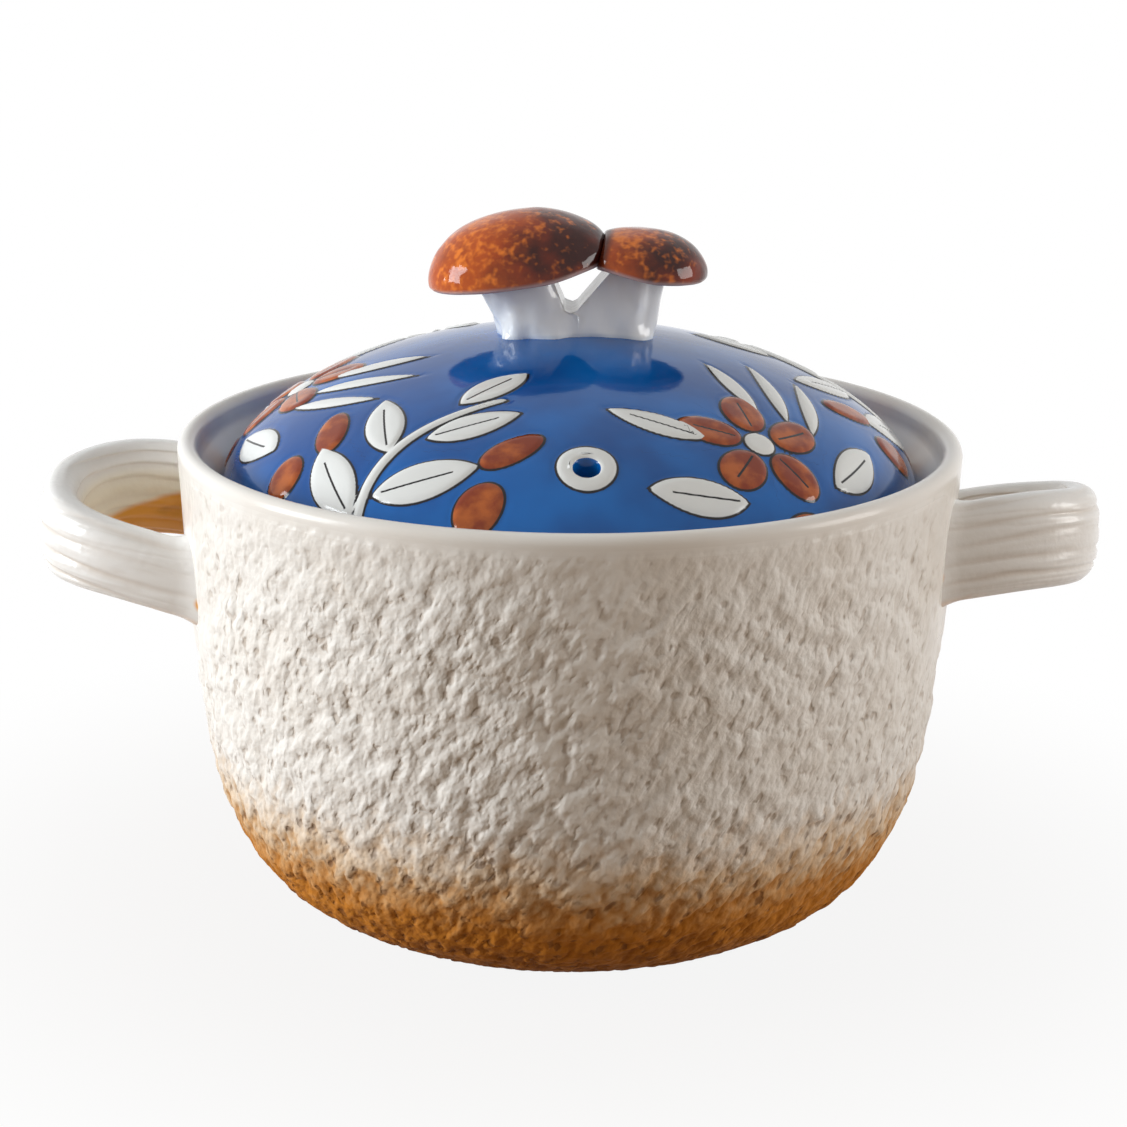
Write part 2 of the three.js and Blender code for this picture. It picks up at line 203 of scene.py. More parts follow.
@dataclass
class Surface:
    """Points, faces and point values of a piece.

    Attributes:
        points: Places in millimetres, as (n, 3).
        faces: Arrays of corner numbers, each for faces of one corner count.
        values: Named values, one for each point.
    """

    points: Array
    faces: list[Array]
    values: dict[str, Array]

    def trimmed(self) -> "Surface":
        """The same surface without the points that no face uses.

        Returns:
            A surface of the same faces.
        """
        used = np.zeros(len(self.points), bool)
        used[np.concatenate([face.ravel() for face in self.faces])] = True
        number = np.cumsum(used) - 1
        return Surface(
            self.points[used],
            [number[face] for face in self.faces],
            {key: value[used] for key, value in self.values.items()},
        )

    def piece(self, name: str) -> bpy.types.Object:
        """The surface as a smooth mesh object at the origin.

        Args:
            name: Name of the object and its mesh.

        Returns:
            The object, linked to the scene.
        """
        mesh = bpy.data.meshes.new(name)
        corners = np.concatenate([face.ravel() for face in self.faces])
        counts = np.concatenate([np.full(len(face), face.shape[1]) for face in self.faces])
        starts = np.r_[0, np.cumsum(counts)[:-1]]
        mesh.vertices.add(len(self.points))
        mesh.vertices.foreach_set("co", (self.points * MM).astype(np.float32).ravel())
        mesh.loops.add(len(corners))
        mesh.loops.foreach_set("vertex_index", corners.astype(np.int32))
        mesh.polygons.add(len(counts))
        mesh.polygons.foreach_set("loop_start", starts.astype(np.int32))
        mesh.polygons.foreach_set("use_smooth", np.ones(len(counts), bool))
        for key, value in self.values.items():
            attribute = mesh.attributes.new(key, "FLOAT", "POINT")
            attribute.data.foreach_set("value", value.astype(np.float32))
        mesh.update(calc_edges=True)
        mesh.validate()
        piece = bpy.data.objects.new(name, mesh)
        bpy.context.scene.collection.objects.link(piece)
        return piece


@dataclass
class Rings:
    """A grid of rings that close on themselves, shut at both ends by a pole.

    Attributes:
        places: Points as (row, column, 3), in millimetres. Seen from outside, columns run
            to the right while rows run up.
        values: Named values at these points, each as (row, column).
    """

    places: Array
    values: dict[str, Array]

    def quads(self) -> Array:
        """Corner numbers of the faces between rings.

        Returns:
            The numbers, as (row, column, 4).
        """
        rows, columns = self.places.shape[:2]
        row, column = np.mgrid[: rows - 1, :columns]
        left, right = row * columns + column, row * columns + (column + 1) % columns
        return np.stack([left, right, right + columns, left + columns], -1)

    def fans(self) -> Array:
        """Corner numbers of the triangles from both end rings to their poles.

        Returns:
            The numbers, as (triangle, 3).
        """
        rows, columns = self.places.shape[:2]
        column = np.arange(columns)
        after, last = (column + 1) % columns, (rows - 1) * columns
        pole = np.full(columns, rows * columns)
        first_fan = np.stack([pole, after, column], 1)
        last_fan = np.stack([pole + 1, last + column, last + after], 1)
        return np.vstack([first_fan, last_fan])

    def surface(self, missing: Array | None = None) -> Surface:
        """The closed surface.

        Args:
            missing: Faces between rings to leave out, as (row, column) of truth values.

        Returns:
            The surface, whose points are numbered row by row, with the poles last.
        """
        ends = [self.places[0].mean(0), self.places[-1].mean(0)]
        values = {
            key: np.r_[value.ravel(), value[0].mean(), value[-1].mean()]
            for key, value in self.values.items()
        }
        quads = self.quads()
        kept = quads.reshape(-1, 4) if missing is None else quads[~missing]
        points = np.vstack([self.places.reshape(-1, 3), ends])
        return Surface(points, [kept, self.fans()], values)


@dataclass(frozen=True)
class Noise:
    """Random values from 0 to 1 in space.

    Attributes:
        size: Size of its features, in millimetres.
        detail: How many finer layers are added.
        stretch: How many times longer than wide the features are.
        lean: Angle of their length from upright towards +X, in radians.
    """

    size: float
    detail: float
    stretch: float = 1.0
    lean: float = 0.0


@dataclass(frozen=True)
class Patches:
    """Patches of a second tone.

    Attributes:
        noise: The noise that makes them.
        span: Its values at which the second tone begins and is full.
        share: How much of the second tone a full patch has.
    """

    noise: Noise
    span: Span
    share: float = 1.0


class Nodes:
    """A node tree under construction: short ways to add nodes to it."""

    MIX_COLOURS = (6, 7)  # numbers of a mix node's two colour inputs
    MIX_RESULT = 2  # number of its colour output

    def __init__(self, tree: bpy.types.NodeTree) -> None:
        """Takes the tree that nodes are added to."""
        self.tree = tree

    def add(self, kind: str, *sources: Source, **settings: object) -> bpy.types.Node:
        """A new node with some of its properties set and its first inputs fed.

        Args:
            kind: Blender's name for its type.
            *sources: What its first inputs are fed from, in order.
            **settings: Its properties and their values.

        Returns:
            The node.
        """
        node = self.tree.nodes.new(kind)
        for key, value in settings.items():
            setattr(node, key, value)
        for socket, source in zip(node.inputs, sources):
            self.feed(socket, source)
        return node

    def feed(self, socket: Socket, source: Source) -> None:
        """Links a socket to a source, or sets it to a constant.

        Args:
            socket: An input.
            source: An output, a number or a colour.
        """
        if isinstance(source, bpy.types.NodeSocket):
            self.tree.links.new(source, socket)
        elif isinstance(source, tuple):
            socket.default_value = (*source, 1.0)
        else:
            socket.default_value = source

    def sum(self, *terms: tuple[Socket, float], base: float = 0.0) -> Socket:
        """Values times their factors, added up on a base.

        Args:
            *terms: Values, each with its factor.
            base: What they are added to.

        Returns:
            The sum.
        """
        total = base
        for source, factor in terms:
            node = self.add("ShaderNodeMath", source, factor, total, operation="MULTIPLY_ADD")
            total = node.outputs[0]
        return total

    def times(self, first: Socket, second: Socket | float) -> Socket:
        """The product of two values."""
        return self.add("ShaderNodeMath", first, second, operation="MULTIPLY").outputs[0]

    def step(
        self, value: Socket, low: float, high: float, start: float = 0.0, end: float = 1.0
    ) -> Socket:
        """A smooth way from start to end.

        Args:
            value: The value that it follows.
            low: The value at which it starts, which may be the greater one.
            high: The value at which it ends.
            start: The result at low.
            end: The result at high.

        Returns:
            The result.
        """
        if low > high:
            low, high, start, end = high, low, end, start
        return self.add(
            "ShaderNodeMapRange", value, low, high, start, end, interpolation_type="SMOOTHSTEP"
        ).outputs["Result"]

    def within(self, distance: Socket, edge: float, soft: float) -> Socket:
        """1 where a distance is less than an edge's and 0 past it, with a soft border."""
        return self.step(distance, edge + soft, edge - soft)

    def mix(self, share: Socket, first: Source, second: Source) -> Socket:
        """A colour between two others.

        Args:
            share: From 0 for the first colour to 1 for the second.
            first: The first colour.
            second: The second colour.

        Returns:
            The colour.
        """
        node = self.add("ShaderNodeMix", share, data_type="RGBA")
        for number, source in zip(self.MIX_COLOURS, (first, second)):
            self.feed(node.inputs[number], source)
        return node.outputs[self.MIX_RESULT]

    def blend(self, share: Socket, first: Socket, second: Socket) -> Socket:
        """A shader that goes from the first to the second as the share goes from 0 to 1."""
        return self.add("ShaderNodeMixShader", share, first, second).outputs[0]

    def seen(self) -> Socket:
        """The rays that see the white surroundings: the camera's, and those of gloss and glass.

        Returns:
            1 for these rays, and 0 for those that only light the pot.
        """
        path = self.add("ShaderNodeLightPath")
        seen = path.outputs["Is Camera Ray"]
        for key in ("Is Glossy Ray", "Is Transmission Ray"):
            either = self.add("ShaderNodeMath", seen, path.outputs[key], operation="MAXIMUM")
            seen = either.outputs[0]
        return seen


class GlazeNodes(Nodes):
    """A material under construction, with an opaque dielectric shader."""

    def __init__(self, name: str, roughness: float, shine: float = 0.5) -> None:
        """Starts a material.

        Args:
            name: The material's name.
            roughness: How matt the glaze is, from 0 to 1.
            shine: How strongly it mirrors, where 0.5 is plain glass.
        """
        self.material = bpy.data.materials.new(name)
        self.material.use_nodes = True
        super().__init__(self.material.node_tree)
        self.shader = self.tree.nodes["Principled BSDF"]
        self.shader.inputs["Roughness"].default_value = roughness
        self.shader.inputs["Specular IOR Level"].default_value = shine
        self.place = self.add("ShaderNodeTexCoord").outputs["Object"]

    def value(self, name: str) -> Socket:
        """A named value of the mesh's points."""
        return self.add("ShaderNodeAttribute", attribute_name=name).outputs["Fac"]

    def height(self) -> Socket:
        """Height above the table, in metres."""
        return self.add("ShaderNodeSeparateXYZ", self.place).outputs["Z"]

    def noise(self, noise: Noise) -> Socket:
        """A noise in the piece's own space.

        Args:
            noise: What it is like.

        Returns:
            Its values, from 0 to 1.
        """
        turn = self.add("ShaderNodeMapping", self.place, vector_type="TEXTURE")
        turn.inputs["Rotation"].default_value = (0.0, noise.lean, 0.0)
        turn.inputs["Scale"].default_value = (1.0, 1.0, noise.stretch)
        node = self.add("ShaderNodeTexNoise")
        self.feed(node.inputs["Vector"], turn.outputs[0])
        node.inputs["Scale"].default_value = 1.0 / (noise.size * MM)
        node.inputs["Detail"].default_value = noise.detail
        return node.outputs["Fac"]

    def patches(self, patches: Patches) -> Socket:
        """The share of the second tone."""
        return self.times(self.step(self.noise(patches.noise), *patches.span), patches.share)

    def finish(
        self, colour: Socket, relief: Socket, height: float, roughness: Socket | None = None
    ) -> bpy.types.Material:
        """Joins the colour, fine relief and roughness to the shader.

        Args:
            colour: The surface's own colour.
            relief: The fine relief, from 0 to 1.
            height: The millimetres that 1 stands for.
            roughness: The roughness, where that varies.

        Returns:
            The finished material.
        """
        self.feed(self.shader.inputs["Base Color"], colour)
        if roughness is not None:
            self.feed(self.shader.inputs["Roughness"], roughness)
        bump = self.add("ShaderNodeBump")
        self.feed(bump.inputs["Height"], relief)
        bump.inputs["Distance"].default_value = height * MM
        self.feed(self.shader.inputs["Normal"], bump.outputs[0])
        return self.material


class Glaze(Protocol):
    """A finish, which makes a material."""

    def material(self) -> bpy.types.Material:
        """The material, which reads some of its mesh's values."""


@dataclass(frozen=True)
class CrumpledGlaze:
    """Cream glaze over crumpled stoneware, toasted to ochre and brown towards the foot.

    Each toasted tone has the heights at which it begins and is full. These lines waver by the
    sum of two noises, whose middles add up to one waver. Pits and wrinkles darken with painted
    shade, partly the real brown of glaze pooled in them.
    """

    cream: Colour = (0.84, 0.81, 0.765)
    shade: Colour = (0.74, 0.68, 0.605)
    # pit tone: painted shade of the pits and creases, partly the real brown of glaze pooled
    # there
    pit_shade: Colour = (0.33, 0.225, 0.135)
    tan: Colour = (0.68, 0.45, 0.23)
    ochre: Colour = (0.53, 0.19, 0.016)
    brown: Colour = (0.28, 0.088, 0.010)
    # burnt pit tone: painted shade of the pits in the toasted band
    burnt_pit_shade: Colour = (0.13, 0.042, 0.008)
    roughness: float = 0.5
    lip_roughness: float = 0.2
    bare_roughness: float = 0.85
    shine: float = 0.25
    tan_heights: Span = (53.0, 27.0)
    ochre_heights: Span = (39.0, 18.0)
    brown_heights: Span = (18.0, 1.0)
    waver: float = 10.0
    tongues: Noise = Noise(12.0, 4.0)
    specks: Noise = Noise(2.6, 2.0)
    clouds: Patches = Patches(Noise(26.0, 3.0), (0.42, 0.72), 0.35)
    wrinkles: Noise = Noise(2.7, 1.5, stretch=1.6, lean=0.5)
    wrinkle_hollow: Span = (0.42, 0.28)
    # shares of painted shade in the wrinkles and in the pits
    wrinkle_shade_share: float = 0.42
    pit_shade_share: float = 0.14
    # share of painted shade in the toasted band's pits
    burnt_shade_share: float = 1.4
    grain: Noise = Noise(1.6, 2.0)
    grain_weight: float = 0.3
    wrinkle_weight: float = 1.7
    hollow_weight: float = -0.25
    relief: float = 0.7

    def material(self) -> bpy.types.Material:
        """The material, which reads the mesh's pit share, raise, cover and inner values; the
        pit share paints shade into the pits.

        Returns:
            The finished material.
        """
        nodes = GlazeNodes("crumpled_cream_glaze", self.roughness, self.shine)
        cover = nodes.value("cover")
        wrinkles = nodes.noise(self.wrinkles)
        fine = nodes.times(nodes.step(wrinkles, *self.wrinkle_hollow), cover)
        # hollow: share of painted shade in the pits and wrinkles, partly real brown glaze
        hollow = nodes.sum((nodes.value("pit_shade"), self.pit_shade_share), (fine, self.wrinkle_shade_share))
        colour = nodes.mix(nodes.patches(self.clouds), self.cream, self.shade)
        colour = nodes.mix(hollow, colour, self.pit_shade)
        uneven = nodes.sum(
            (nodes.height(), 1.0),
            (nodes.noise(self.tongues), self.waver * MM),
            (nodes.noise(self.specks), self.waver * MM),
            (nodes.value("raise"), self.waver * MM),
            (nodes.value("inner"), 1.0),
        )

        def fired(heights: Span) -> Socket:
            """Share of a toasted tone between its two heights."""
            return nodes.step(uneven, *((height + self.waver) * MM for height in heights))

        toasted = fired(self.tan_heights)
        toast = nodes.mix(fired(self.ochre_heights), self.tan, self.ochre)
        toast = nodes.mix(fired(self.brown_heights), toast, self.brown)
        # painted shade: the toasted band's pits darken towards near black brown
        toast = nodes.mix(nodes.times(hollow, self.burnt_shade_share), toast, self.burnt_pit_shade)
        colour = nodes.mix(toasted, colour, toast)
        grain = nodes.sum(
            (nodes.noise(self.grain), self.grain_weight),
            (wrinkles, self.wrinkle_weight),
            (fine, self.hollow_weight),
        )
        rough = nodes.sum(
            (cover, self.roughness - self.lip_roughness),
            (toasted, self.bare_roughness - self.roughness),
            base=self.lip_roughness,
        )
        return nodes.finish(colour, nodes.times(grain, cover), self.relief, rough)


@dataclass(frozen=True)
class GrainGlaze:
    """Cream glaze over clay grooved like wood, bare and toasted low inside the loops."""

    cream: Colour = (0.89, 0.88, 0.86)
    shade: Colour = (0.80, 0.77, 0.73)
    groove: Colour = (0.60, 0.51, 0.42)
    # straw tone of the loop's inner face, made paler as painted light there
    lit_straw: Colour = (0.91, 0.85, 0.70)
    ochre: Colour = (0.80, 0.36, 0.05)
    brown: Colour = (0.10, 0.042, 0.014)
    roughness: float = 0.25
    clouds: Patches = Patches(Noise(18.0, 3.0), (0.45, 0.75), 0.4)
    groove_share: float = 0.6
    scorch: Noise = Noise(6.0, 3.0)
    scorch_weight: float = 0.22
    ochre_toast: Span = (0.25, 0.72)
    brown_toast: Span = (1.0, 1.28)
    grain: Noise = Noise(2.2, 3.0)
    relief: float = 0.14

    def material(self) -> bpy.types.Material:
        """The material, which reads the mesh's groove, toast and within values.

        Returns:
            The finished material.
        """
        nodes = GlazeNodes("grained_cream_glaze", self.roughness)
        groove = nodes.times(nodes.value("groove"), self.groove_share)
        colour = nodes.mix(nodes.patches(self.clouds), self.cream, self.shade)
        # inner face below its top edge: straw tone, partly painted light
        colour = nodes.mix(nodes.value("within"), colour, self.lit_straw)
        colour = nodes.mix(groove, colour, self.groove)
        scorch = nodes.noise(self.scorch), self.scorch_weight
        toast = nodes.sum((nodes.value("toast"), 1.0), scorch)
        colour = nodes.mix(nodes.step(toast, *self.ochre_toast), colour, self.ochre)
        colour = nodes.mix(nodes.step(toast, *self.brown_toast), colour, self.brown)
        return nodes.finish(colour, nodes.noise(self.grain), self.relief)


@dataclass(frozen=True)
class FigureGlaze:
    """Deep blue gloss glaze with raised white and amber figures in dark outlines."""

    blue: Colour = (0.001, 0.070, 0.29)
    pale_blue: Colour = (0.005, 0.165, 0.56)
    white: Colour = (0.80, 0.81, 0.79)
    amber: Colour = (0.50, 0.12, 0.018)
    rust: Colour = (0.25, 0.035, 0.006)
    line: Colour = (0.012, 0.010, 0.012)
    under: Colour = (0.72, 0.70, 0.66)
    outline: float = 0.6
    edge_soft: float = 0.12
    vein: float = 0.28
    vein_soft: float = 0.1
    vein_end_soft: float = 0.15
    roughness: float = 0.09
    shine: float = 0.3
    clouds: Patches = Patches(Noise(30.0, 3.0), (0.3, 0.75), 0.8)
    mottling: Patches = Patches(Noise(6.0, 4.0), (0.38, 0.68))
    ripple: Noise = Noise(5.0, 2.0)
    relief: float = 0.05

    def material(self) -> bpy.types.Material:
        """The material, which reads the mesh's distances to the figures' edges.

        Returns:
            The finished material.
        """
        nodes = GlazeNodes("blue_figure_glaze", self.roughness, self.shine)
        white, amber = nodes.value("white_edge"), nodes.value("amber_edge")
        off = nodes.add("ShaderNodeMath", nodes.value("vein_side"), operation="ABSOLUTE")
        vein = nodes.times(
            nodes.within(off.outputs[0], self.vein, self.vein_soft),
            nodes.within(nodes.value("vein_room"), 0.0, self.vein_end_soft),
        )
        colour = nodes.mix(nodes.patches(self.clouds), self.blue, self.pale_blue)
        for edge in (white, amber):
            near = nodes.within(edge, self.outline, self.edge_soft)
            colour = nodes.mix(near, colour, self.line)
        mottled = nodes.mix(nodes.patches(self.mottling), self.rust, self.amber)
        for edge, fill in ((amber, mottled), (white, self.white)):
            colour = nodes.mix(nodes.within(edge, 0.0, self.edge_soft), colour, fill)
        colour = nodes.mix(vein, colour, self.line)
        colour = nodes.mix(nodes.value("underside"), colour, self.under)
        return nodes.finish(colour, nodes.noise(self.ripple), self.relief)


@dataclass(frozen=True)
class MottledGlaze:
    """Chestnut gloss glaze, dark where it pools, orange where it is thin, pale on the rim. It
    has painted shade at the seam between the caps and painted light on each cap's left side.
    """

    dark: Colour = (0.045, 0.004, 0.001)
    chestnut: Colour = (0.30, 0.034, 0.002)
    orange: Colour = (0.54, 0.095, 0.006)
    fleck: Colour = (0.82, 0.21, 0.018)
    pale: Colour = (0.72, 0.52, 0.46)
    roughness: float = 0.07
    shine: float = 0.3
    pools: Noise = Noise(11.0, 3.0)
    # weight of the thin value, which holds painted light on each cap's left side
    pool_thin_and_lit: float = 0.3
    pool_span: Span = (0.46, 0.86)
    streaks: Noise = Noise(4.4, 3.0)
    streak_weight: float = 0.75
    streak_span: Span = (0.6, 1.4)
    streak_share: float = 0.8
    specks: Noise = Noise(1.7, 1.2)
    clumps: Noise = Noise(7.5, 2.0)
    clump_weight: float = 0.9
    # weight of the thin value, which holds painted light on each cap's left side
    clump_thin_and_lit: float = 0.15
    fleck_span: Span = (0.98, 1.42)
    fleck_share: float = 0.95
    # share of painted shade at the seam between the caps
    seam_shade_share: float = 0.85
    rim_share: float = 0.8
    ripple: Noise = Noise(6.0, 2.0)
    relief: float = 0.3

    def material(self) -> bpy.types.Material:
        """The material, which reads the mesh's values for thin glaze with painted light on the
        left side, for the rim, and for painted shade at the seam.

        Returns:
            The finished material.
        """
        nodes = GlazeNodes("chestnut_glaze", self.roughness, self.shine)
        # thin glaze on the top and rim, and painted light on each cap's left side, where the
        # lamp light falls
        thin_and_lit = nodes.value("thin_and_lit")
        pooled = nodes.sum((nodes.noise(self.pools), 1.0), (thin_and_lit, self.pool_thin_and_lit))
        bare = nodes.sum((thin_and_lit, 1.0), (nodes.noise(self.streaks), self.streak_weight))
        clumps = nodes.noise(self.clumps), self.clump_weight
        specked = nodes.sum((nodes.noise(self.specks), 1.0), clumps, (thin_and_lit, self.clump_thin_and_lit))
        colour = nodes.mix(nodes.step(pooled, *self.pool_span), self.dark, self.chestnut)
        for share, full, tone in (
            (nodes.step(bare, *self.streak_span), self.streak_share, self.orange),
            (nodes.step(specked, *self.fleck_span), self.fleck_share, self.fleck),
            # painted shade: dark in the valley where the two caps meet
            (nodes.value("seam_shade"), self.seam_shade_share, self.dark),
            (nodes.value("rim"), self.rim_share, self.pale),
        ):
            colour = nodes.mix(nodes.times(share, full), colour, tone)
        return nodes.finish(colour, nodes.noise(self.ripple), self.relief)


@dataclass(frozen=True)
class WhiteGlaze:
    """Cool white gloss glaze, a little blue where it meets the lid."""

    white: Colour = (0.82, 0.845, 0.86)
    pooled: Colour = (0.55, 0.63, 0.72)
    roughness: float = 0.1
    drift: Noise = Noise(4.0, 3.0)
    drift_weight: float = 0.4
    pool_span: Span = (0.7, 1.5)
    ripple: Noise = Noise(7.0, 2.0)
    relief: float = 0.4

    def material(self) -> bpy.types.Material:
        """The material, which reads the mesh's pool value.

        Returns:
            The finished material.
        """
        nodes = GlazeNodes("cool_white_glaze", self.roughness)
        pool = nodes.value("pool")
        uneven = nodes.sum((pool, 1.0), (nodes.noise(self.drift), self.drift_weight))
        colour = nodes.mix(nodes.step(uneven, *self.pool_span), self.white, self.pooled)
        return nodes.finish(colour, nodes.noise(self.ripple), self.relief)


def finished(
    surface: Surface, body: str, node: str, glaze: Glaze
) -> bpy.types.Object:
    """A surface as a glazed piece that rides on a body and stands for a solid.

    Args:
        surface: The piece's shape.
        body: Body that it moves with.
        node: Solid that it stands for, which also gives its name.
        glaze: Its finish.

    Returns:
        The finished piece.
    """
    piece = surface.piece(f"{node}_glazed")
    piece.data.materials.append(glaze.material())
    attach(piece, body)
    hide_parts(node)
    log.info("%s: %d faces, rides on %s", piece.name, len(piece.data.polygons), body)
    return piece


@dataclass
class Pot:
    """The pot's body: bowl, foot ring, lip and the sloping seat of the lid.

    Its relief of broad crumples, mounds and creases is calm round the handles' roots.
    """

    # profile
    rim_radius: float = 100.0
    height: float = 126.0
    lip: float = 5.0
    wall: float = 5.5
    floor: float = 9.0
    floor_rise: float = 4.0
    foot_radius: float = 52.0
    foot_width: float = 8.0
    foot_hollow: float = 2.0
    foot_corner: float = 1.0
    tuck: float = 4.8
    belly_low: float = 11.8
    belly_high: float = 37.4
    seat_head: float = 6.0
    seat_foot: float = 19.0
    seat_width: float = 11.0
    seat_corner: float = 1.6
    throat: float = 7.0
    pole: float = 2.0
    # broad crumples, which leave the handles' roots plain
    crumple_depth: float = 0.9
    crumple_height: float = 16.0
    crumples: int = 24
    crumple_bend: float = 2.0
    crumple_fade: float = 14.0
    handle_half: float = 31.5
    handle_root: float = 43.3
    # mounds and creases, from noises of these seeds
    seeds: tuple[int, ...] = (11, 23, 37)
    crease_size: float = 3.3
    crease_width: float = 0.3
    crease_depth: float = 0.5
    crease_stretch: float = 1.4
    crease_slant: float = 0.5
    warp: float = 2.0
    warp_size: float = 6.0
    warp_shifts: Triple = (0.0, 50.0, 90.0)
    break_size: float = 3.6
    break_span: Span = (-0.3, 0.25)
    mound: float = 0.4
    mound_level: float = 0.6
    mound_round: float = 0.02
    # where the relief fades, and the calm patches round the handles' roots
    smooth_lip: float = 1.0
    lip_fade: float = 3.0
    foot_fade: Span = (0.5, 4.0)
    rim_fade: float = 26.0
    rim_least: float = 0.5
    calm_half: float = 29.0
    calm_level: float = 101.0
    calm_height: float = 16.0
    calm_side: float = 60.0
    calm_fade: float = 20.0
    calm_least: float = 0.15
    # points of the mesh
    columns: int = 590
    side_rows: int = 130
    fine_steps: int = 8
    bowl_rows: int = 14
    lip_rows: int = 9
    corner_rows: int = 3

    def side(self, count: int) -> Array:
        """The bowl's outside from foot to lip: the cubic Bézier of its four guide points.

        Args:
            count: Points in the profile.

        Returns:
            Radii and heights, in even steps.
        """
        belly = self.rim_radius - self.tuck
        guides = np.array(
            [
                (self.foot_radius, 0.0),
                (belly, self.belly_low),
                (belly, self.belly_high),
                (self.rim_radius, self.height - self.lip / 2),
            ]
        )
        t = np.linspace(0.0, 1.0, self.fine_steps * count)[:, None]
        weights = ((1 - t) ** 3, 3 * t * (1 - t) ** 2, 3 * t**2 * (1 - t), t**3)
        return even_steps(sum(w * g for w, g in zip(weights, guides)), count)

    def inside(self) -> Array:
        """The profile from the lip's crest down the seat, throat and bowl to the floor.

        Returns:
            Radii and heights, from the first point to the last.
        """
        mouth = self.rim_radius - self.lip
        throat = mouth - self.seat_width
        seat, low = self.height - self.seat_foot, self.height - self.seat_foot - self.throat
        side = self.side(self.bowl_rows)
        along = directions(side)
        inner = side + self.wall * np.stack([-along[:, 1], along[:, 0]], 1)
        above, below = self.floor + self.floor_rise, low - self.seat_width
        bowl = inner[(inner[:, 1] > above) & (inner[:, 1] < below)][::-1]
        turn = np.linspace(0.0, math.pi, self.lip_rows)
        lip = np.stack([np.cos(turn), np.sin(turn)], 1) * self.lip / 2
        lip += (self.rim_radius - self.lip / 2, self.height - self.lip / 2)
        step = [lip[-1], (mouth, self.height - self.seat_head), (throat, seat), (throat, low)]
        corners = np.array([*step, bowl[0]])
        seat_line = rounded(corners, self.seat_corner, self.corner_rows)[:-1]
        floor = [(bowl[-1, 0] - 2 * self.wall, self.floor), (self.pole, self.floor)]
        return np.vstack([lip[1:-1], seat_line, bowl, floor])

    def underside(self) -> Array:
        """The profile from the middle of the foot's hollow out over the foot ring.

        Returns:
            Radii and heights, from the first point to the last.
        """
        inner, hollow = self.foot_radius - self.foot_width, self.foot_hollow
        corners = [(self.pole, hollow), (inner - hollow, hollow), (inner, 0.0)]
        corners.append((self.foot_radius, 0.0))
        return rounded(np.array(corners), self.foot_corner, self.corner_rows)[:-1]

    def crumple(self, points: Array) -> Array:
        """Depth of the broad crumples: two crossed sine waves, each bent by the other's axis.

        depth·share·(1 + sin(n·turn + b·sin(rise/3))·sin(rise + b·sin(n/2·turn)))/2, where
        rise is the height as an angle, and share fades out at the lip, foot and handles.

        Args:
            points: Places on the smooth bowl, in millimetres.

        Returns:
            Depths towards the axis, in millimetres.
        """
        x, y, z = np.moveaxis(points, -1, 0)
        turn, rise = np.arctan2(y, x), 2 * math.pi * z / self.crumple_height
        around = np.sin(self.crumples * turn + self.crumple_bend * np.sin(rise / 3))
        upwards = np.sin(rise + self.crumple_bend * np.sin(self.crumples / 2 * turn))
        fade = self.crumple_fade
        beside = smooth_step(0.0, fade, np.abs(y) - self.handle_half)
        below = smooth_step(0.0, fade, self.height - self.handle_root - z)
        share = np.maximum(beside, below) * smooth_step(0.0, fade, z)
        share *= smooth_step(0.0, fade, self.height - self.lip - z)
        return self.crumple_depth * share * (1 + around * upwards) / 2

    def relief(self, points: Array) -> tuple[Array, Array]:
        """Crumpled clay: mounds parted by short creases.

        The creases lie where a warped noise n is near zero, exp(-(n/width)²), and a second
        noise breaks them up. Mounds are the square root of |n|. The noise is drawn out
        upwards, and leans to the right, because its places are turned back by
        slant·z/rim radius.

        Args:
            points: Places on the smooth bowl, in millimetres.

        Returns:
            The relief in millimetres, and how deep in a crease each point lies, from 0 to 1.
        """
        warp, crease, gate = (ClayNoise(seed) for seed in self.seeds)
        x, y, z = np.moveaxis(points, -1, 0)
        back = -self.crease_slant * z / self.rim_radius
        turned = x * np.cos(back) - y * np.sin(back), x * np.sin(back) + y * np.cos(back)
        leant = np.stack([*turned, z / self.crease_stretch], -1)
        bends = [warp(points + shift, self.warp_size) for shift in self.warp_shifts]
        lines = crease(leant + self.warp * np.stack(bends, -1), self.crease_size)
        broken = smooth_step(*self.break_span, gate(leant, self.break_size))
        pits = bell(lines, self.crease_width) * broken
        mounds = np.sqrt(np.abs(lines) + self.mound_round)
        return self.mound * (mounds - self.mound_level) - self.crease_depth * pits, pits

    def cover(self, points: Array) -> Array:
        """Share of the relief: none on the lip and foot, less near the rim and the handles.

        Args:
            points: Places on the smooth bowl, in millimetres.

        Returns:
            Shares from 0 to 1.
        """
        x, y, z = np.moveaxis(points, -1, 0)
        top = self.height - self.lip / 2 - self.smooth_lip
        plain = smooth_step(top, top - self.lip_fade, z) * smooth_step(*self.foot_fade, z)
        plain *= at_least(self.rim_least, smooth_step(top, top - self.rim_fade, z))
        across = np.maximum(np.abs(y) - self.calm_half, 0.0)
        above = np.maximum(np.abs(z - self.calm_level) - self.calm_height, 0.0)
        front = np.where(np.abs(x) > self.calm_side, 0.0, self.rim_radius)
        near = np.hypot(across, above) + front
        return plain * at_least(self.calm_least, smooth_step(0.0, self.calm_fade, near))

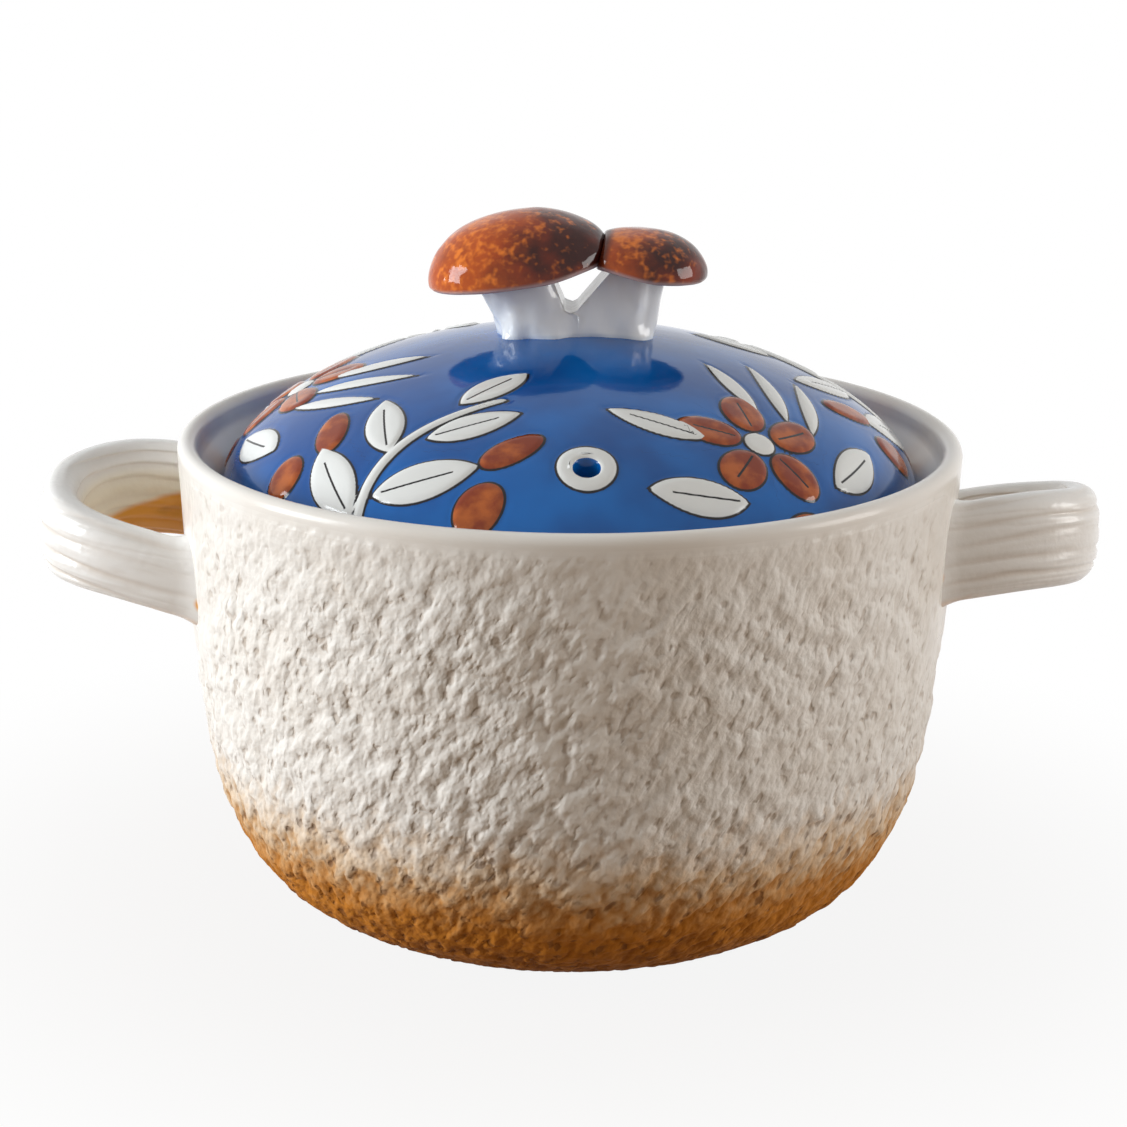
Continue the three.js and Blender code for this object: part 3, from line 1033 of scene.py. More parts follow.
    def build(self) -> bpy.types.Object:
        """The body: its profile spun round the axis, crumpled, with the relief pressed in.

        Returns:
            The finished piece, which stands for the body's solid.
        """
        under, side, inside = self.underside(), self.side(self.side_rows), self.inside()
        turn = round_turn(self.columns)
        rays = np.stack([np.cos(turn), np.sin(turn), np.zeros_like(turn)], 1)
        places = spun(np.vstack([under, side, inside]), rays)
        span = slice(len(under), len(under) + len(side))
        height, pits = self.relief(places[span])
        cover = self.cover(places[span])
        values = {key: np.zeros(places.shape[:2]) for key in ("pit_shade", "raise", "cover", "inner")}
        # the pit share is read only to paint shade, partly real brown glaze, into the creases
        values["pit_shade"][span], values["raise"][span] = cover * pits, cover * height
        values["cover"][span] = cover
        values["inner"][span.stop :] = 1.0
        places[span] -= self.crumple(places[span])[..., None] * rays
        places[span] += values["raise"][span][..., None] * square_to(side, rays)
        places[..., 2] = np.maximum(places[..., 2], 0.0)
        skin = Rings(places, values).surface()
        return finished(skin, "pot", "pot_body", CrumpledGlaze())


class Side(Enum):
    """The pot's two sides, each with its handle's sign along X."""

    LEFT = -1
    RIGHT = 1


@dataclass
class LoopHandle:
    """A curled strip of grooved clay, whose one leg meets the wall lower than the other.

    Both edges are given as drops below the rim, from the front leg to the back one. Each spot
    at a root has its distance from the root and its height over the strip's middle, each
    with a width.
    """

    side: Side
    # loop, strip and joints
    rim_radius: float = 100.0
    rim_height: float = 126.0
    reach: float = 36.3
    spread: float = 63.0
    squareness: float = 2.5
    thickness: float = 11.0
    strip_squareness: float = 2.7
    root: float = 89.5
    joint_radius: float = 95.6
    joint_blend: float = 5.0
    top: tuple[float, ...] = (11.3, 8.8, 12.2, 18.0, 23.2)
    bottom: tuple[float, ...] = (36.5, 34.0, 36.0, 37.8, 43.3)
    swell: float = 1.3
    swell_start: float = 0.8
    swell_fade: float = 6.0
    # points of the mesh
    line_points: int = 4000
    stations: int = 170
    around: int = 150
    # grooves, hair lines and layers, from noises of these seeds
    seeds: tuple[int, int] = (15, 25)
    wavers: tuple[tuple[float, Triple], ...] = (
        (2.6, (42.0, 16.0, 9.0)),
        (0.8, (17.0, 7.0, 9.0)),
    )
    groove_pitch: float = 4.9
    groove_depth: float = 0.8
    groove_width: float = 0.5
    groove_size: Triple = (30.0, 7.0, 9.0)
    groove_span: Span = (-0.35, 0.35)
    groove_least: float = 0.3
    hair_size: Triple = (38.0, 2.2, 9.0)
    hair_width: float = 0.12
    hair_depth: float = 0.25
    layer_pitch: float = 3.7
    layer_depth: float = 0.8
    layer_edge: float = 0.86
    layer_tone: float = 0.6
    root_fade: float = 14.0
    root_least: float = 0.25
    # shares of the glaze's tones
    within_span: Span = (0.7, 0.2)
    toast_share: float = 0.95
    toast_level: float = -0.5
    toast_rise: float = 0.55
    toast_roots: Span = (40.0, 5.0)
    toast_soft: float = 0.25
    heel_share: float = 0.5
    heel_span: Span = (-0.75, -1.0)
    blush_share: float = 0.32
    blush_span: Span = (-0.62, -1.0)
    blush_roots: Span = (46.0, 6.0)
    spot_share: float = 0.9
    spots: tuple[tuple[float, ...], ...] = ((1.5, 1.7, -4.5, 1.7), (1.0, 2.0, -12.5, 2.2))

    def middle_line(self) -> Array:
        """Even points of half a superellipse in plan.

        Returns:
            Places in plan, one for each station.
        """
        t = np.linspace(0.0, math.pi, self.line_points)
        reach = self.rim_radius + self.reach - self.thickness / 2 - self.root
        half = (self.spread - self.thickness) / 2
        x = self.root + reach * drawn(np.sin(t), self.squareness)
        y = -half * drawn(np.cos(t), self.squareness)
        return even_steps(np.stack([x, y], 1), self.stations)

    def edge(self, drops: tuple[float, ...]) -> Array:
        """Heights of an edge along the strip: the Catmull-Rom curve through its drops.

        Args:
            drops: Drops below the rim, at even distances along the strip.

        Returns:
            Heights above the table, one for each station.
        """
        at = np.linspace(0.0, len(drops) - 1.0, self.stations)
        first = np.clip(at.astype(int), 0, len(drops) - 2)
        t = at - first
        value = np.asarray(drops)
        p0, p1, p2, p3 = (value[np.clip(first + k, 0, len(drops) - 1)] for k in (-1, 0, 1, 2))
        curve = p1 + 0.5 * t * (
            p2 - p0 + t * (2 * p0 - 5 * p1 + 4 * p2 - p3 + t * (3 * (p1 - p2) + p3 - p0))
        )
        return self.rim_height - curve

    def grain(self, length: Array, across: Array) -> tuple[Array, Array]:
        """Grooves of the outer face and layers of the inner one, like the grain of wood.

        A groove lies where cos(pi·(across + w)/pitch) is near zero, and w is a noise drawn out
        along the strip. Layers are the square of a saw wave of the same wavering distance.

        Args:
            length: Distance along the strip, as (station, 1).
            across: Height over the strip's middle, as (station, point).

        Returns:
            Depths from 0 to 1 of the grooves and of the layers.
        """
        waver, strength = (ClayNoise(seed - self.side.value) for seed in self.seeds)
        strip = np.stack([length + 0 * across, across, 0 * across], -1)
        shift = sum(width * waver(strip, size) for width, size in self.wavers)
        wave = np.cos(math.pi * (across + shift) / self.groove_pitch)
        deep = smooth_step(*self.groove_span, strength(strip, self.groove_size))
        grooves = bell(wave, self.groove_width) * at_least(self.groove_least, deep)
        hair = bell(np.abs(strength(strip, self.hair_size)), self.hair_width)
        saw = ((across + shift) / self.layer_pitch) % 1.0
        layers = saw**2 * smooth_step(1.0, self.layer_edge, saw)
        return grooves + self.hair_depth * hair, layers

    def toasted(
        self, root: Array, up: Array, across: Array
    ) -> tuple[Array, Array, Array]:
        """Share of toasted clay: low inside the loop, below its legs, in spots at its roots.

        Args:
            root: Distance to the nearer root, as (station, 1).
            up: Height over the strip's middle as a share of its half, as (1, point).
            across: The same height in millimetres, as (station, point).

        Returns:
            The shares inside the loop, on all sides and on the outer face.
        """
        level = self.toast_level + self.toast_rise * smooth_step(*self.toast_roots, root)
        soft = self.toast_soft
        low = self.toast_share * smooth_step(level + soft, level - soft, up)
        low = low + self.heel_share * smooth_step(*self.heel_span, up)
        blush = self.blush_share * smooth_step(*self.blush_span, up)
        spots = sum(
            bell(root - away, wide) * bell(across - above, high)
            for away, wide, above, high in self.spots
        )
        return low, blush * smooth_step(*self.blush_roots, root), self.spot_share * spots

    def build(self) -> bpy.types.Object:
        """The strip: a grooved superellipse carried along its line, swollen at both roots.

        Returns:
            The finished piece, which stands for the handle's solid.
        """
        line = self.middle_line()
        along = directions(line)
        top, bottom = self.edge(self.top)[:, None], self.edge(self.bottom)[:, None]
        turn = -round_turn(self.around)
        out = drawn(np.cos(turn), self.strip_squareness)[None, :]
        up = drawn(np.sin(turn), self.strip_squareness)[None, :]
        length = distances(line)[:, None]
        half = (top - bottom) / 2
        grooves, layers = self.grain(length, half * up)
        outer, inner = np.sqrt(np.clip(out, 0.0, 1.0)), np.sqrt(np.clip(-out, 0.0, 1.0))
        root = np.minimum(length, length[-1] - length)
        fade = at_least(self.root_least, smooth_step(0.0, self.root_fade, root))
        carved = outer * self.groove_depth * grooves - inner * self.layer_depth * layers
        offset = out * (self.thickness / 2) - fade * carved
        x = line[:, :1] + along[:, 1:] * offset
        y = line[:, 1:] - along[:, :1] * offset
        z = (top + bottom) / 2 + half * up
        away = np.hypot(x, y) - self.joint_radius - self.swell_start
        grown = self.swell * (1.0 - np.clip(away / self.swell_fade, 0.0, 1.0)) ** 2
        y = y - along[:, :1] * grown * out
        z = z + grown * up
        wall = np.sqrt(np.maximum(self.joint_radius**2 - y**2, 0.0))
        blend = self.rim_radius + self.joint_blend
        share = np.clip((x - self.root) / (blend - self.root), 0.0, 1.0)
        x = np.where(x < blend, wall + share * (blend - wall), x)
        places = np.stack([x * self.side.value, y * self.side.value, z], -1)
        low, blush, spots = self.toasted(root, up, half * up)
        grain = fade * (outer * grooves + self.layer_tone * inner * layers)
        values = {
            "groove": np.clip(grain, 0.0, 1.0),
            "toast": np.maximum(inner * low, np.maximum(blush, outer * spots)),
            # where the inner face gets its straw tone, partly painted light
            "within": inner * smooth_step(*self.within_span, up) + 0.0 * length,
        }
        skin, name = Rings(places, values).surface(), f"handle_{self.side.name.lower()}"
        return finished(skin, "pot", name, GrainGlaze())


class Motif(Enum):
    """Shapes of the raised figures on the lid."""

    LEAF = "leaf"
    DISC = "disc"
    STALK = "stalk"


@dataclass(frozen=True)
class Figure:
    """One raised figure, placed on the dome near a sprig's centre.

    Attributes:
        motif: Its shape.
        right: Distance of its centre round the dome, to the right of the sprig's centre.
        up: Distance of its centre towards the crown.
        turn: Degrees that its length is turned from pointing to the crown, clockwise.
        length: Its length, or a disc's diameter.
        width: Its greatest width, or a disc's height.
        amber: Amber glaze instead of white.
        veined: A dark line along its middle.
        stalk_bend: The b of a stalk, which bends as across = along²/b.
        vein_shift: Distance of the line's centre towards the foot, as a share of the length.
        vein_half: Half the line's length, as a share of the length.
    """

    motif: Motif
    right: float
    up: float
    turn: float
    length: float
    width: float
    amber: bool = False
    veined: bool = False
    stalk_bend: float = 80.0
    vein_shift: float = 0.06
    vein_half: float = 0.34

    def local(self, right: Array, up: Array) -> tuple[Array, Array]:
        """Places along and across the figure.

        Args:
            right: Distances round the dome from the sprig's centre.
            up: Distances towards the crown from that centre.

        Returns:
            The places along the figure, and those across it.
        """
        angle = math.radians(self.turn)
        x, y = right - self.right, up - self.up
        along = x * math.sin(angle) + y * math.cos(angle)
        return along, x * math.cos(angle) - y * math.sin(angle)

    def edge(self, right: Array, up: Array) -> Array:
        """Distance to the figure's edge, less than 0 inside it.

        A leaf is the part that two circles share, a disc is an ellipse, and a stalk is a
        bent band with round ends.

        Args:
            right: Distances round the dome from the sprig's centre.
            up: Distances towards the crown from that centre.

        Returns:
            Distances in millimetres.
        """
        along, across = self.local(right, up)
        if self.motif is Motif.LEAF:
            radius = (self.length**2 + self.width**2) / (4 * self.width)
            offset = radius - self.width / 2
            return np.hypot(along, np.abs(across) + offset) - radius
        if self.motif is Motif.DISC:
            scaled = np.hypot(along / self.length, across / self.width) * 2
            steep = 2 * np.hypot(along / self.length**2, across / self.width**2) * 2
            return scaled * (scaled - 1) / np.maximum(steep, 1e-6)
        bent = across - along**2 / self.stalk_bend
        past = np.maximum(np.abs(along) - self.length / 2, 0.0)
        return np.hypot(bent, past) - self.width / 2

    def vein(self, right: Array, up: Array) -> tuple[Array, Array]:
        """Distances to the line along the figure's middle.

        Args:
            right: Distances round the dome from the sprig's centre.
            up: Distances towards the crown from that centre.

        Returns:
            Distances aside of the line, and past its ends, which are less than 0 between them.
        """
        along, across = self.local(right, up)
        past = np.abs(along + self.vein_shift * self.length)
        return across, past - self.vein_half * self.length


def leaves(*sizes: tuple[float, ...]) -> tuple[Figure, ...]:
    """White leaves with veins, each from its right, up, turn, length and width."""
    return tuple(Figure(Motif.LEAF, *size, veined=True) for size in sizes)


def berries(*sizes: tuple[float, ...], veined: bool = False) -> tuple[Figure, ...]:
    """Amber discs, each from its right, up, turn, length and width."""
    return tuple(Figure(Motif.DISC, *size, amber=True, veined=veined) for size in sizes)


def petals(reach: float, up: float, size: Span, turns: tuple[float, ...]) -> tuple[Figure, ...]:
    """Amber veined discs round a flower's middle, each of them turned outwards.

    Args:
        reach: Distance of their centres from the flower's middle.
        up: Distance of that middle towards the crown.
        size: Length and width of each.
        turns: Degrees clockwise from the crown at which they stand.

    Returns:
        The discs.
    """
    places = [(reach * math.sin(at), up + reach * math.cos(at)) for at in np.radians(turns)]
    return berries(*((*place, turn, *size) for place, turn in zip(places, turns)), veined=True)


LEAF_SPRIG = (
    Figure(Motif.STALK, 0.0, -3.0, 10.0, 54.0, 2.6),
    *leaves(
        (-11.5, -14.0, -54.0, 25.0, 12.0),
        (13.0, -9.0, 60.0, 25.0, 12.0),
        (-8.5, 6.0, -42.0, 22.0, 10.5),
        (14.0, 11.0, 50.0, 21.0, 10.0),
        (8.5, 28.0, 18.0, 19.0, 9.5),
    ),
    *berries(
        (-23.0, -1.0, -30.0, 14.0, 9.5),
        (-29.0, -17.0, 20.0, 13.0, 10.0),
        (28.5, 3.0, 35.0, 14.0, 9.5),
        (30.0, -15.0, -15.0, 15.0, 11.0),
        (2.0, -27.0, 90.0, 17.0, 10.0),
    ),
)
FLOWER_SPRIG = (
    *petals(12.0, 1.0, (14.5, 10.6), (20.0, 92.0, 164.0, 236.0, 308.0)),
    Figure(Motif.DISC, 0.0, 1.0, 0.0, 7.6, 7.6),
    *leaves(
        (-25.5, -12.0, -74.0, 23.0, 11.0),
        (25.5, -14.0, 80.0, 23.0, 11.0),
        (-20.5, 13.0, -46.0, 21.0, 9.0),
    ),
    Figure(Motif.LEAF, 21.5, 16.0, 32.0, 25.0, 5.0),
    Figure(Motif.LEAF, 28.0, 6.5, 50.0, 23.0, 5.0),
    Figure(Motif.LEAF, 11.5, 23.0, 12.0, 23.0, 5.0),
    *berries((-2.0, -25.0, 80.0, 13.0, 9.0)),
)


@dataclass
class Lid:
    """The domed lid with its locating ring, steam vent and raised figures.

    The vent is lined by loops, each with its share of the vent's width. The upper ones are
    sunk below the dome, and the lower ones stand above the hollow.
    """

    # dome, edge and locating ring
    plane: float = 109.3
    radius: float = 89.5
    rise: float = 43.5
    wall: float = 5.0
    shoulder: float = 1.81
    crown: float = 2.04
    edge_radius: float = 89.05
    edge_height: float = 3.96
    edge_round: float = 1.2
    edge_rows: int = 6
    bevel_foot: float = -2.7
    ring_depth: float = 8.0
    ring_outer: float = 83.2
    ring_inner: float = 79.2
    ring_fillet: float = 1.5
    corner: float = 1.4
    corner_rows: int = 4
    # steam vent
    vent_width: float = 6.5
    vent_depth: float = 5.49
    vent_distance: float = 71.6
    vent_turn: float = 3.2
    vent_frame: float = 4.7
    vent_pad: float = 14.0
    vent_widths: tuple[float, ...] = (1.3, 1.12, 1.03, 1.0, 1.0, 1.03, 1.16)
    vent_sunk: tuple[float, ...] = (0.0, 0.12, 0.5, 1.1)
    vent_stood: tuple[float, ...] = (1.0, 0.4, 0.0)
    vent_white_loops: int = 3
    vent_glazed_loops: int = 5
    vent_white: float = -2.0
    # points of the mesh
    columns: int = 600
    dome_rows: int = 104
    fine_steps: int = 12
    hollow_rows: int = 15
    row_room: float = 2.0
    dome_pole: float = 1.0
    hollow_pole: float = 2.0
    # figures
    far: float = 40.0
    raised: float = 0.55
    raised_span: Span = (0.6, -1.0)
    vein_half: float = 0.9
    vein_ends: Span = (0.5, -0.5)
    vein_share: float = 0.4
    trough_depth: float = 0.18
    trough_away: float = 0.7
    trough_width: float = 0.5
    sprig_distance: float = 70.0
    sprig_turns: tuple[float, ...] = (-150.0, -92.0, -36.0, 41.0, 98.0, 155.0)

    def height_at(self, radius: Array, inset: float = 0.0) -> Array:
        """Height of the dome over its plane, or of the same dome smaller by an inset."""
        sine = np.clip(radius / (self.radius - inset), 0.0, 1.0) ** (self.shoulder / 2)
        return (self.rise - inset) * drawn(np.sqrt(1.0 - sine**2), self.crown)

    def outside(self) -> Array:
        """The dome's profile above the lid's edge: a superellipse in even steps.

        Returns:
            Radii, and heights over the lid's plane.
        """
        angle = np.linspace(math.pi / 2, 0.0, self.fine_steps * self.dome_rows)
        reach = self.radius * drawn(np.sin(angle), self.shoulder)
        curve = np.stack([reach, self.height_at(reach)], 1)
        above = curve[:, 1] > self.edge_height + self.edge_round
        return even_steps(curve[above & (reach > self.dome_pole)], self.dome_rows)

    def beneath(self, beside_vent: Array) -> tuple[Array, Array]:
        """The profile from the hollow's middle over the ring and bevel to the lid's edge.

        Args:
            beside_vent: Radii that get a row of their own, because the vent comes out there.

        Returns:
            The profile, and the numbers of those rows in it.
        """
        last = self.ring_inner - self.ring_fillet
        even = np.linspace(self.hollow_pole, last, self.hollow_rows)
        clear = np.abs(even[:, None] - beside_vent).min(1) > self.row_room
        radii = np.sort(np.r_[even[clear], beside_vent])
        hollow = np.stack([radii, self.height_at(radii, self.wall)], 1)
        corners = [
            hollow[-1],
            (self.ring_inner, self.height_at(np.array(self.ring_inner), self.wall)),
            (self.ring_inner, -self.ring_depth),
            (self.ring_outer, -self.ring_depth),
            (self.ring_outer, self.bevel_foot),
            (self.edge_radius, self.edge_height),
            self.outside()[0],
        ]
        edge = rounded(np.array(corners), self.corner, self.corner_rows)[:-1]
        return np.vstack([hollow[:-1], edge]), np.searchsorted(radii, beside_vent)

    def figures(self, arc: Array, radius: Array, turn: Array) -> dict[str, Array]:
        """Distances to the nearest white and amber edge and leaf vein over the dome.

        Args:
            arc: Distance along the dome from its edge, as (row, 1).
            radius: Distance from the axis, as (row, 1).
            turn: Angle from the lid's front, as (1, column).

        Returns:
            Distances in millimetres, as (row, column), by their value names.
        """
        leaf = np.full(np.broadcast_shapes(arc.shape, turn.shape), self.far)
        names = ("white_edge", "amber_edge", "vein_side", "vein_room")
        edges = {name: leaf.copy() for name in names}

        def draw(distance: float, at: float, sprig: tuple[Figure, ...]) -> None:
            """Adds a sprig.

            Args:
                distance: Distance of its centre from the axis.
                at: Degrees of its centre from the front.
                sprig: Its figures.
            """
            middle = float(np.interp(-distance, -radius[:, 0], arc[:, 0]))
            away = (turn - math.radians(at) + math.pi) % (2 * math.pi) - math.pi
            right, up = away * radius, arc - middle + 0.0 * turn
            for figure in sprig:
                edge = figure.edge(right, up)
                key = "amber_edge" if figure.amber else "white_edge"
                edges[key] = np.minimum(edges[key], edge)
                if figure.veined:
                    nearer = edge < leaf
                    for name, value in zip(names[2:], figure.vein(right, up)):
                        edges[name] = np.where(nearer, value, edges[name])
                    np.minimum(leaf, edge, out=leaf)

        for number, at in enumerate(self.sprig_turns):
            draw(self.sprig_distance, at, FLOWER_SPRIG if number % 2 else LEAF_SPRIG)
        pad = Figure(Motif.DISC, 0.0, 0.0, 0.0, self.vent_pad, self.vent_pad)
        draw(self.vent_distance, self.vent_turn, (pad,))
        return edges

    def lift(self, edges: dict[str, Array]) -> Array:
        """How far figures raise the dome, less in their veins and in a trough round them.

        Args:
            edges: Distances to the figures' edges and veins.

        Returns:
            Heights in millimetres.
        """
        nearest = np.minimum(edges["white_edge"], edges["amber_edge"])
        vein = smooth_step(self.vein_half, 0.0, np.abs(edges["vein_side"]))
        share = smooth_step(*self.raised_span, nearest)
        share -= self.vein_share * vein * smooth_step(*self.vein_ends, edges["vein_room"])
        trough = self.trough_depth * bell(nearest - self.trough_away, self.trough_width)
        return self.raised * share - trough

    def vent(self, skin: Surface, upper: Array, lower: Array) -> Surface:
        """Lines the steam vent with loops from the gap in the dome to the gap in the hollow.

        Each loop is an ellipse in plan, c + s·(a·cos t, b·sin t), which widens with a round
        edge at both mouths.

        Args:
            skin: The lid's surface with both gaps.
            upper: Numbers of the points round the gap in the dome.
            lower: Numbers of the points below these, round the gap in the hollow.

        Returns:
            The closed surface.
        """
        turn = math.radians(self.vent_turn)
        sideways = np.array([math.cos(turn), math.sin(turn)])
        inwards = np.array([-math.sin(turn), math.cos(turn)])
        centre = -self.vent_distance * inwards
        half = np.array([self.vent_width, self.vent_depth]) / 2
        ellipse = (skin.points[upper, :2] - centre) @ np.stack([sideways, inwards], 1) / half
        ellipse /= np.linalg.norm(ellipse, axis=1, keepdims=True)
        wide = np.array(self.vent_widths)[:, None, None]
        plan = centre + wide * ((ellipse * half) @ np.stack([sideways, inwards]))
        reach = np.linalg.norm(plan, axis=-1)
        upright = self.vent_width / self.vent_depth
        dome = self.plane + self.height_at(reach) + self.raised * upright
        hollow = self.plane + self.height_at(reach, self.wall)
        sunk, stood = np.array(self.vent_sunk)[:, None], np.array(self.vent_stood)[:, None]
        level = np.vstack([dome[: len(sunk)] - sunk, hollow[len(sunk) :] + stood])
        loops = np.concatenate([plan, level[..., None]], -1)
        numbers = len(skin.points) + np.arange(level.size).reshape(level.shape)
        chain = np.vstack([upper, numbers, lower])
        after = np.roll(chain, -1, axis=1)
        quads = np.stack([chain[:-1], after[:-1], after[1:], chain[1:]], -1).reshape(-1, 4)
        added = {key: np.full(level.shape, self.far) for key in skin.values}
        added["white_edge"][: self.vent_white_loops] = self.vent_white
        added["underside"][:] = 1.0
        added["underside"][: self.vent_glazed_loops] = 0.0
        values = {key: np.r_[value, added[key].ravel()] for key, value in skin.values.items()}
        points = np.vstack([skin.points, loops.reshape(-1, 3)])
        return Surface(points, [*skin.faces, quads], values).trimmed()

    def build(self) -> bpy.types.Object:
        """The lid: its profile spun round the axis, with raised figures and the vent.

        Returns:
            The finished piece, which stands for the lid's solid.
        """
        outside = self.outside()
        arc = distances(outside)[:, None]
        angle = np.linspace(-math.pi, math.pi, self.columns, endpoint=False)
        vent_arc = np.interp(-self.vent_distance, -outside[:, 0], arc[:, 0])
        vent_rows = np.flatnonzero(np.abs(arc[:, 0] - vent_arc) < self.vent_frame)
        aside = (angle - math.radians(self.vent_turn)) * self.vent_distance
        vent_columns = np.flatnonzero(np.abs(aside) < self.vent_frame)
        beneath, hollow_rows = self.beneath(outside[vent_rows, 0])
        profile = np.vstack([beneath, outside])
        rays = np.stack([np.sin(angle), -np.cos(angle), np.zeros_like(angle)], 1)
        places = spun(profile + (0.0, self.plane), rays)
        edges = self.figures(arc, outside[:, :1], angle[None, :])
        top = slice(len(beneath), None)
        places[top] += self.lift(edges)[..., None] * square_to(outside, rays)
        values = {key: np.full(places.shape[:2], self.far) for key in edges}
        for key, distance in edges.items():
            values[key][top] = distance
        values["underside"] = np.ones(places.shape[:2])
        values["underside"][len(beneath) - self.edge_rows :] = 0.0

        def around(rows: Array) -> Array:
            """Numbers of the points round the vent's patch of some rows, edge side first.

            Args:
                rows: Numbers of the patch's rows.

            Returns:
                Numbers of the points.
            """
            first, last = rows[0] * self.columns, rows[-1] * self.columns
            inner = rows[:-1] * self.columns, rows[:0:-1] * self.columns
            left, right = vent_columns[0], vent_columns[-1]
            lower, upper = first + vent_columns[:-1], last + vent_columns[:0:-1]
            return np.r_[lower, inner[0] + right, upper, inner[1] + left]

        dome_rows = vent_rows + len(beneath)
        missing = np.zeros((len(profile) - 1, self.columns), bool)
        for rows in (dome_rows, hollow_rows):
            missing[rows.min() : rows.max(), vent_columns[0] : vent_columns[-1]] = True
        skin = Rings(places, values).surface(missing)
        skin = self.vent(skin, around(dome_rows), around(hollow_rows))
        return finished(skin, "lid", "lid_shell", FigureGlaze())


class Half(Enum):
    """The knob's two mushrooms, each with its side of the seam."""

    LARGE = -1
    SMALL = 1


@dataclass
class Mushroom:
    """One of the knob's two mushrooms: a cap pressed against the other's, and its stem.

    Sizes that both mushrooms share have their values here. A span has the values at which
    something begins and is full.
    """

    half: Half
    length: float
    depth: float
    height: float
    centre: float
    lift: float
    tilt: float
    curl: float
    foot: float
    foot_length: float
    head: float
    head_length: float
    stem_depth: float
    window_foot: float
    window_head: float
    joint_depth: float
    # height of the dome's crown, and the seam between the caps
    crown: float = 152.8
    seam: float = 7.6
    seam_lean: float = 0.3
    seam_level: float = 174.5
    seam_gap: float = 0.25
    seam_soft: float = 0.5
    curl_span: Span = (14.0, 0.0)
    # cap
    edge: float = 1.6
    hollow: float = 1.2
    hollow_power: int = 6
    hollow_span: Span = (0.06, 0.94)
    cap_seed: int = 60
    lumps: tuple[Relief, ...] = ((0.4, 13.0), (0.16, 5.0))
    lump_shift: float = 40.0
    lump_base: float = 0.4
    # painted light: each cap turns orange on its left side, where the lamp light falls
    lit_side: Span = (0.3, -0.3)
    thin_rim: Span = (0.8, 1.0)
    thin_top: Span = (0.4, 0.0)
    # shares of painted light on the left side, and of thin glaze on the rim and top
    thin_and_lit_shares: Triple = (0.8, 0.2, 0.35)
    # distances from the seam at which the painted shade begins and is full
    seam_shade_span: Span = (2.4, 0.3)
    # stem
    stem_foot: float = -4.5
    stem_narrow: float = 2.0
    stem_squareness: float = 2.4
    stem_seam: float = 0.3
    stem_overlap: float = 1.5
    tenon: float = 0.33
    merge: float = 2.1
    merge_height: float = 8.0
    joint_reach: float = 9.0
    fork: float = 5.7
    fork_soft: float = 0.8
    window_height: float = 18.8
    stem_seeds: tuple[int, int] = (80, 90)
    fold_stretch: float = 0.45
    folds: Relief = (1.1, 7.5)
    waves: Relief = (0.6, 4.5)
    push_base: float = 0.3
    foot_spread: float = 0.4
    foot_waves: Relief = (2.4, 8.0)
    foot_fade: float = 1.8
    foot_top: float = 20.0
    pool_height: float = 2.4
    # points of the mesh
    columns: int = 160
    dome_rows: int = 44
    under_rows: int = 8
    stem_columns: int = 128
    stem_rows: int = 64

    def pressed(self, x: Array, limit: Array | float) -> Array:
        """Places held on this half's side of a limit: l + s·k·log(1 + exp(s·(x - l)/k))."""
        side, soft = self.half.value, self.seam_soft
        return limit + side * soft * np.logaddexp(0.0, side * (x - limit) / soft)

    def cap(self) -> bpy.types.Object:
        """The cap: half an ellipsoid with a round rim and a shallow hollow, tilted.

        The side towards the other cap is pressed flat against the leaning seam, with a soft
        edge, and the rim curls up there.

        Returns:
            The finished piece, which stands for the cap's solid.
        """
        side = self.half.value
        rise = np.linspace(math.pi / 2, 0.0, self.dome_rows)[1:-1]
        under = np.linspace(-math.pi / 2, 0.0, self.under_rows)
        radius = self.length / 2
        flat = radius - self.edge
        inner = np.linspace(*self.hollow_span, self.under_rows)
        dip = self.hollow - self.edge - self.hollow * inner**self.hollow_power
        reach = np.r_[flat * inner, flat + self.edge * np.cos(under), radius * np.sin(rise)]
        level = np.r_[dip, self.edge * np.sin(under), self.height * np.cos(rise)][:, None]
        low = np.r_[np.ones(2 * self.under_rows), 1.0 - np.cos(rise)][:, None]
        turn = round_turn(self.columns)[None, :]
        x = reach[:, None] * np.cos(turn)
        y = reach[:, None] * np.sin(turn) * self.depth / self.length
        lean = math.radians(self.tilt)
        z = x * math.sin(lean) + level * math.cos(lean) + self.crown + self.lift
        x = x * math.cos(lean) - level * math.sin(lean) + self.centre
        z = z + self.curl * low * smooth_step(*self.curl_span, side * (x - self.seam))
        places = np.stack([x, y, z], -1)
        noise = ClayNoise(self.cap_seed + side)
        (broad, broad_size), (small, small_size) = self.lumps
        swell = broad * noise(places, broad_size)
        swell = swell + small * noise(places + self.lump_shift, small_size) - self.lump_base
        middle = np.array([self.centre, 0.0, self.crown + self.lift])
        places += swell[..., None] * (places - middle) / radius
        seam = self.seam + self.seam_lean * (places[..., 2] - self.seam_level)
        places[..., 0] = self.pressed(places[..., 0], seam - self.seam_gap * side)
        along = (places[..., 0] - self.centre) / self.length
        # painted light on the left side, and thin glaze on the rim and top
        shares = (
            smooth_step(*self.lit_side, along),
            smooth_step(*self.thin_rim, low),
            smooth_step(*self.thin_top, low),
        )
        rim = np.zeros(len(reach))
        rim[self.under_rows : 2 * self.under_rows] = np.sin(2 * np.abs(under)) ** 2
        values = {
            "thin_and_lit": sum(part * share for part, share in zip(self.thin_and_lit_shares, shares)),
            "rim": rim[:, None] + 0.0 * turn,
            # painted shade in the valley at the seam
            "seam_shade": smooth_step(*self.seam_shade_span, side * (places[..., 0] - seam)),
        }
        skin, name = Rings(places, values).surface(), f"knob_cap_{self.half.name.lower()}"
        return finished(skin, "lid", name, MottledGlaze())

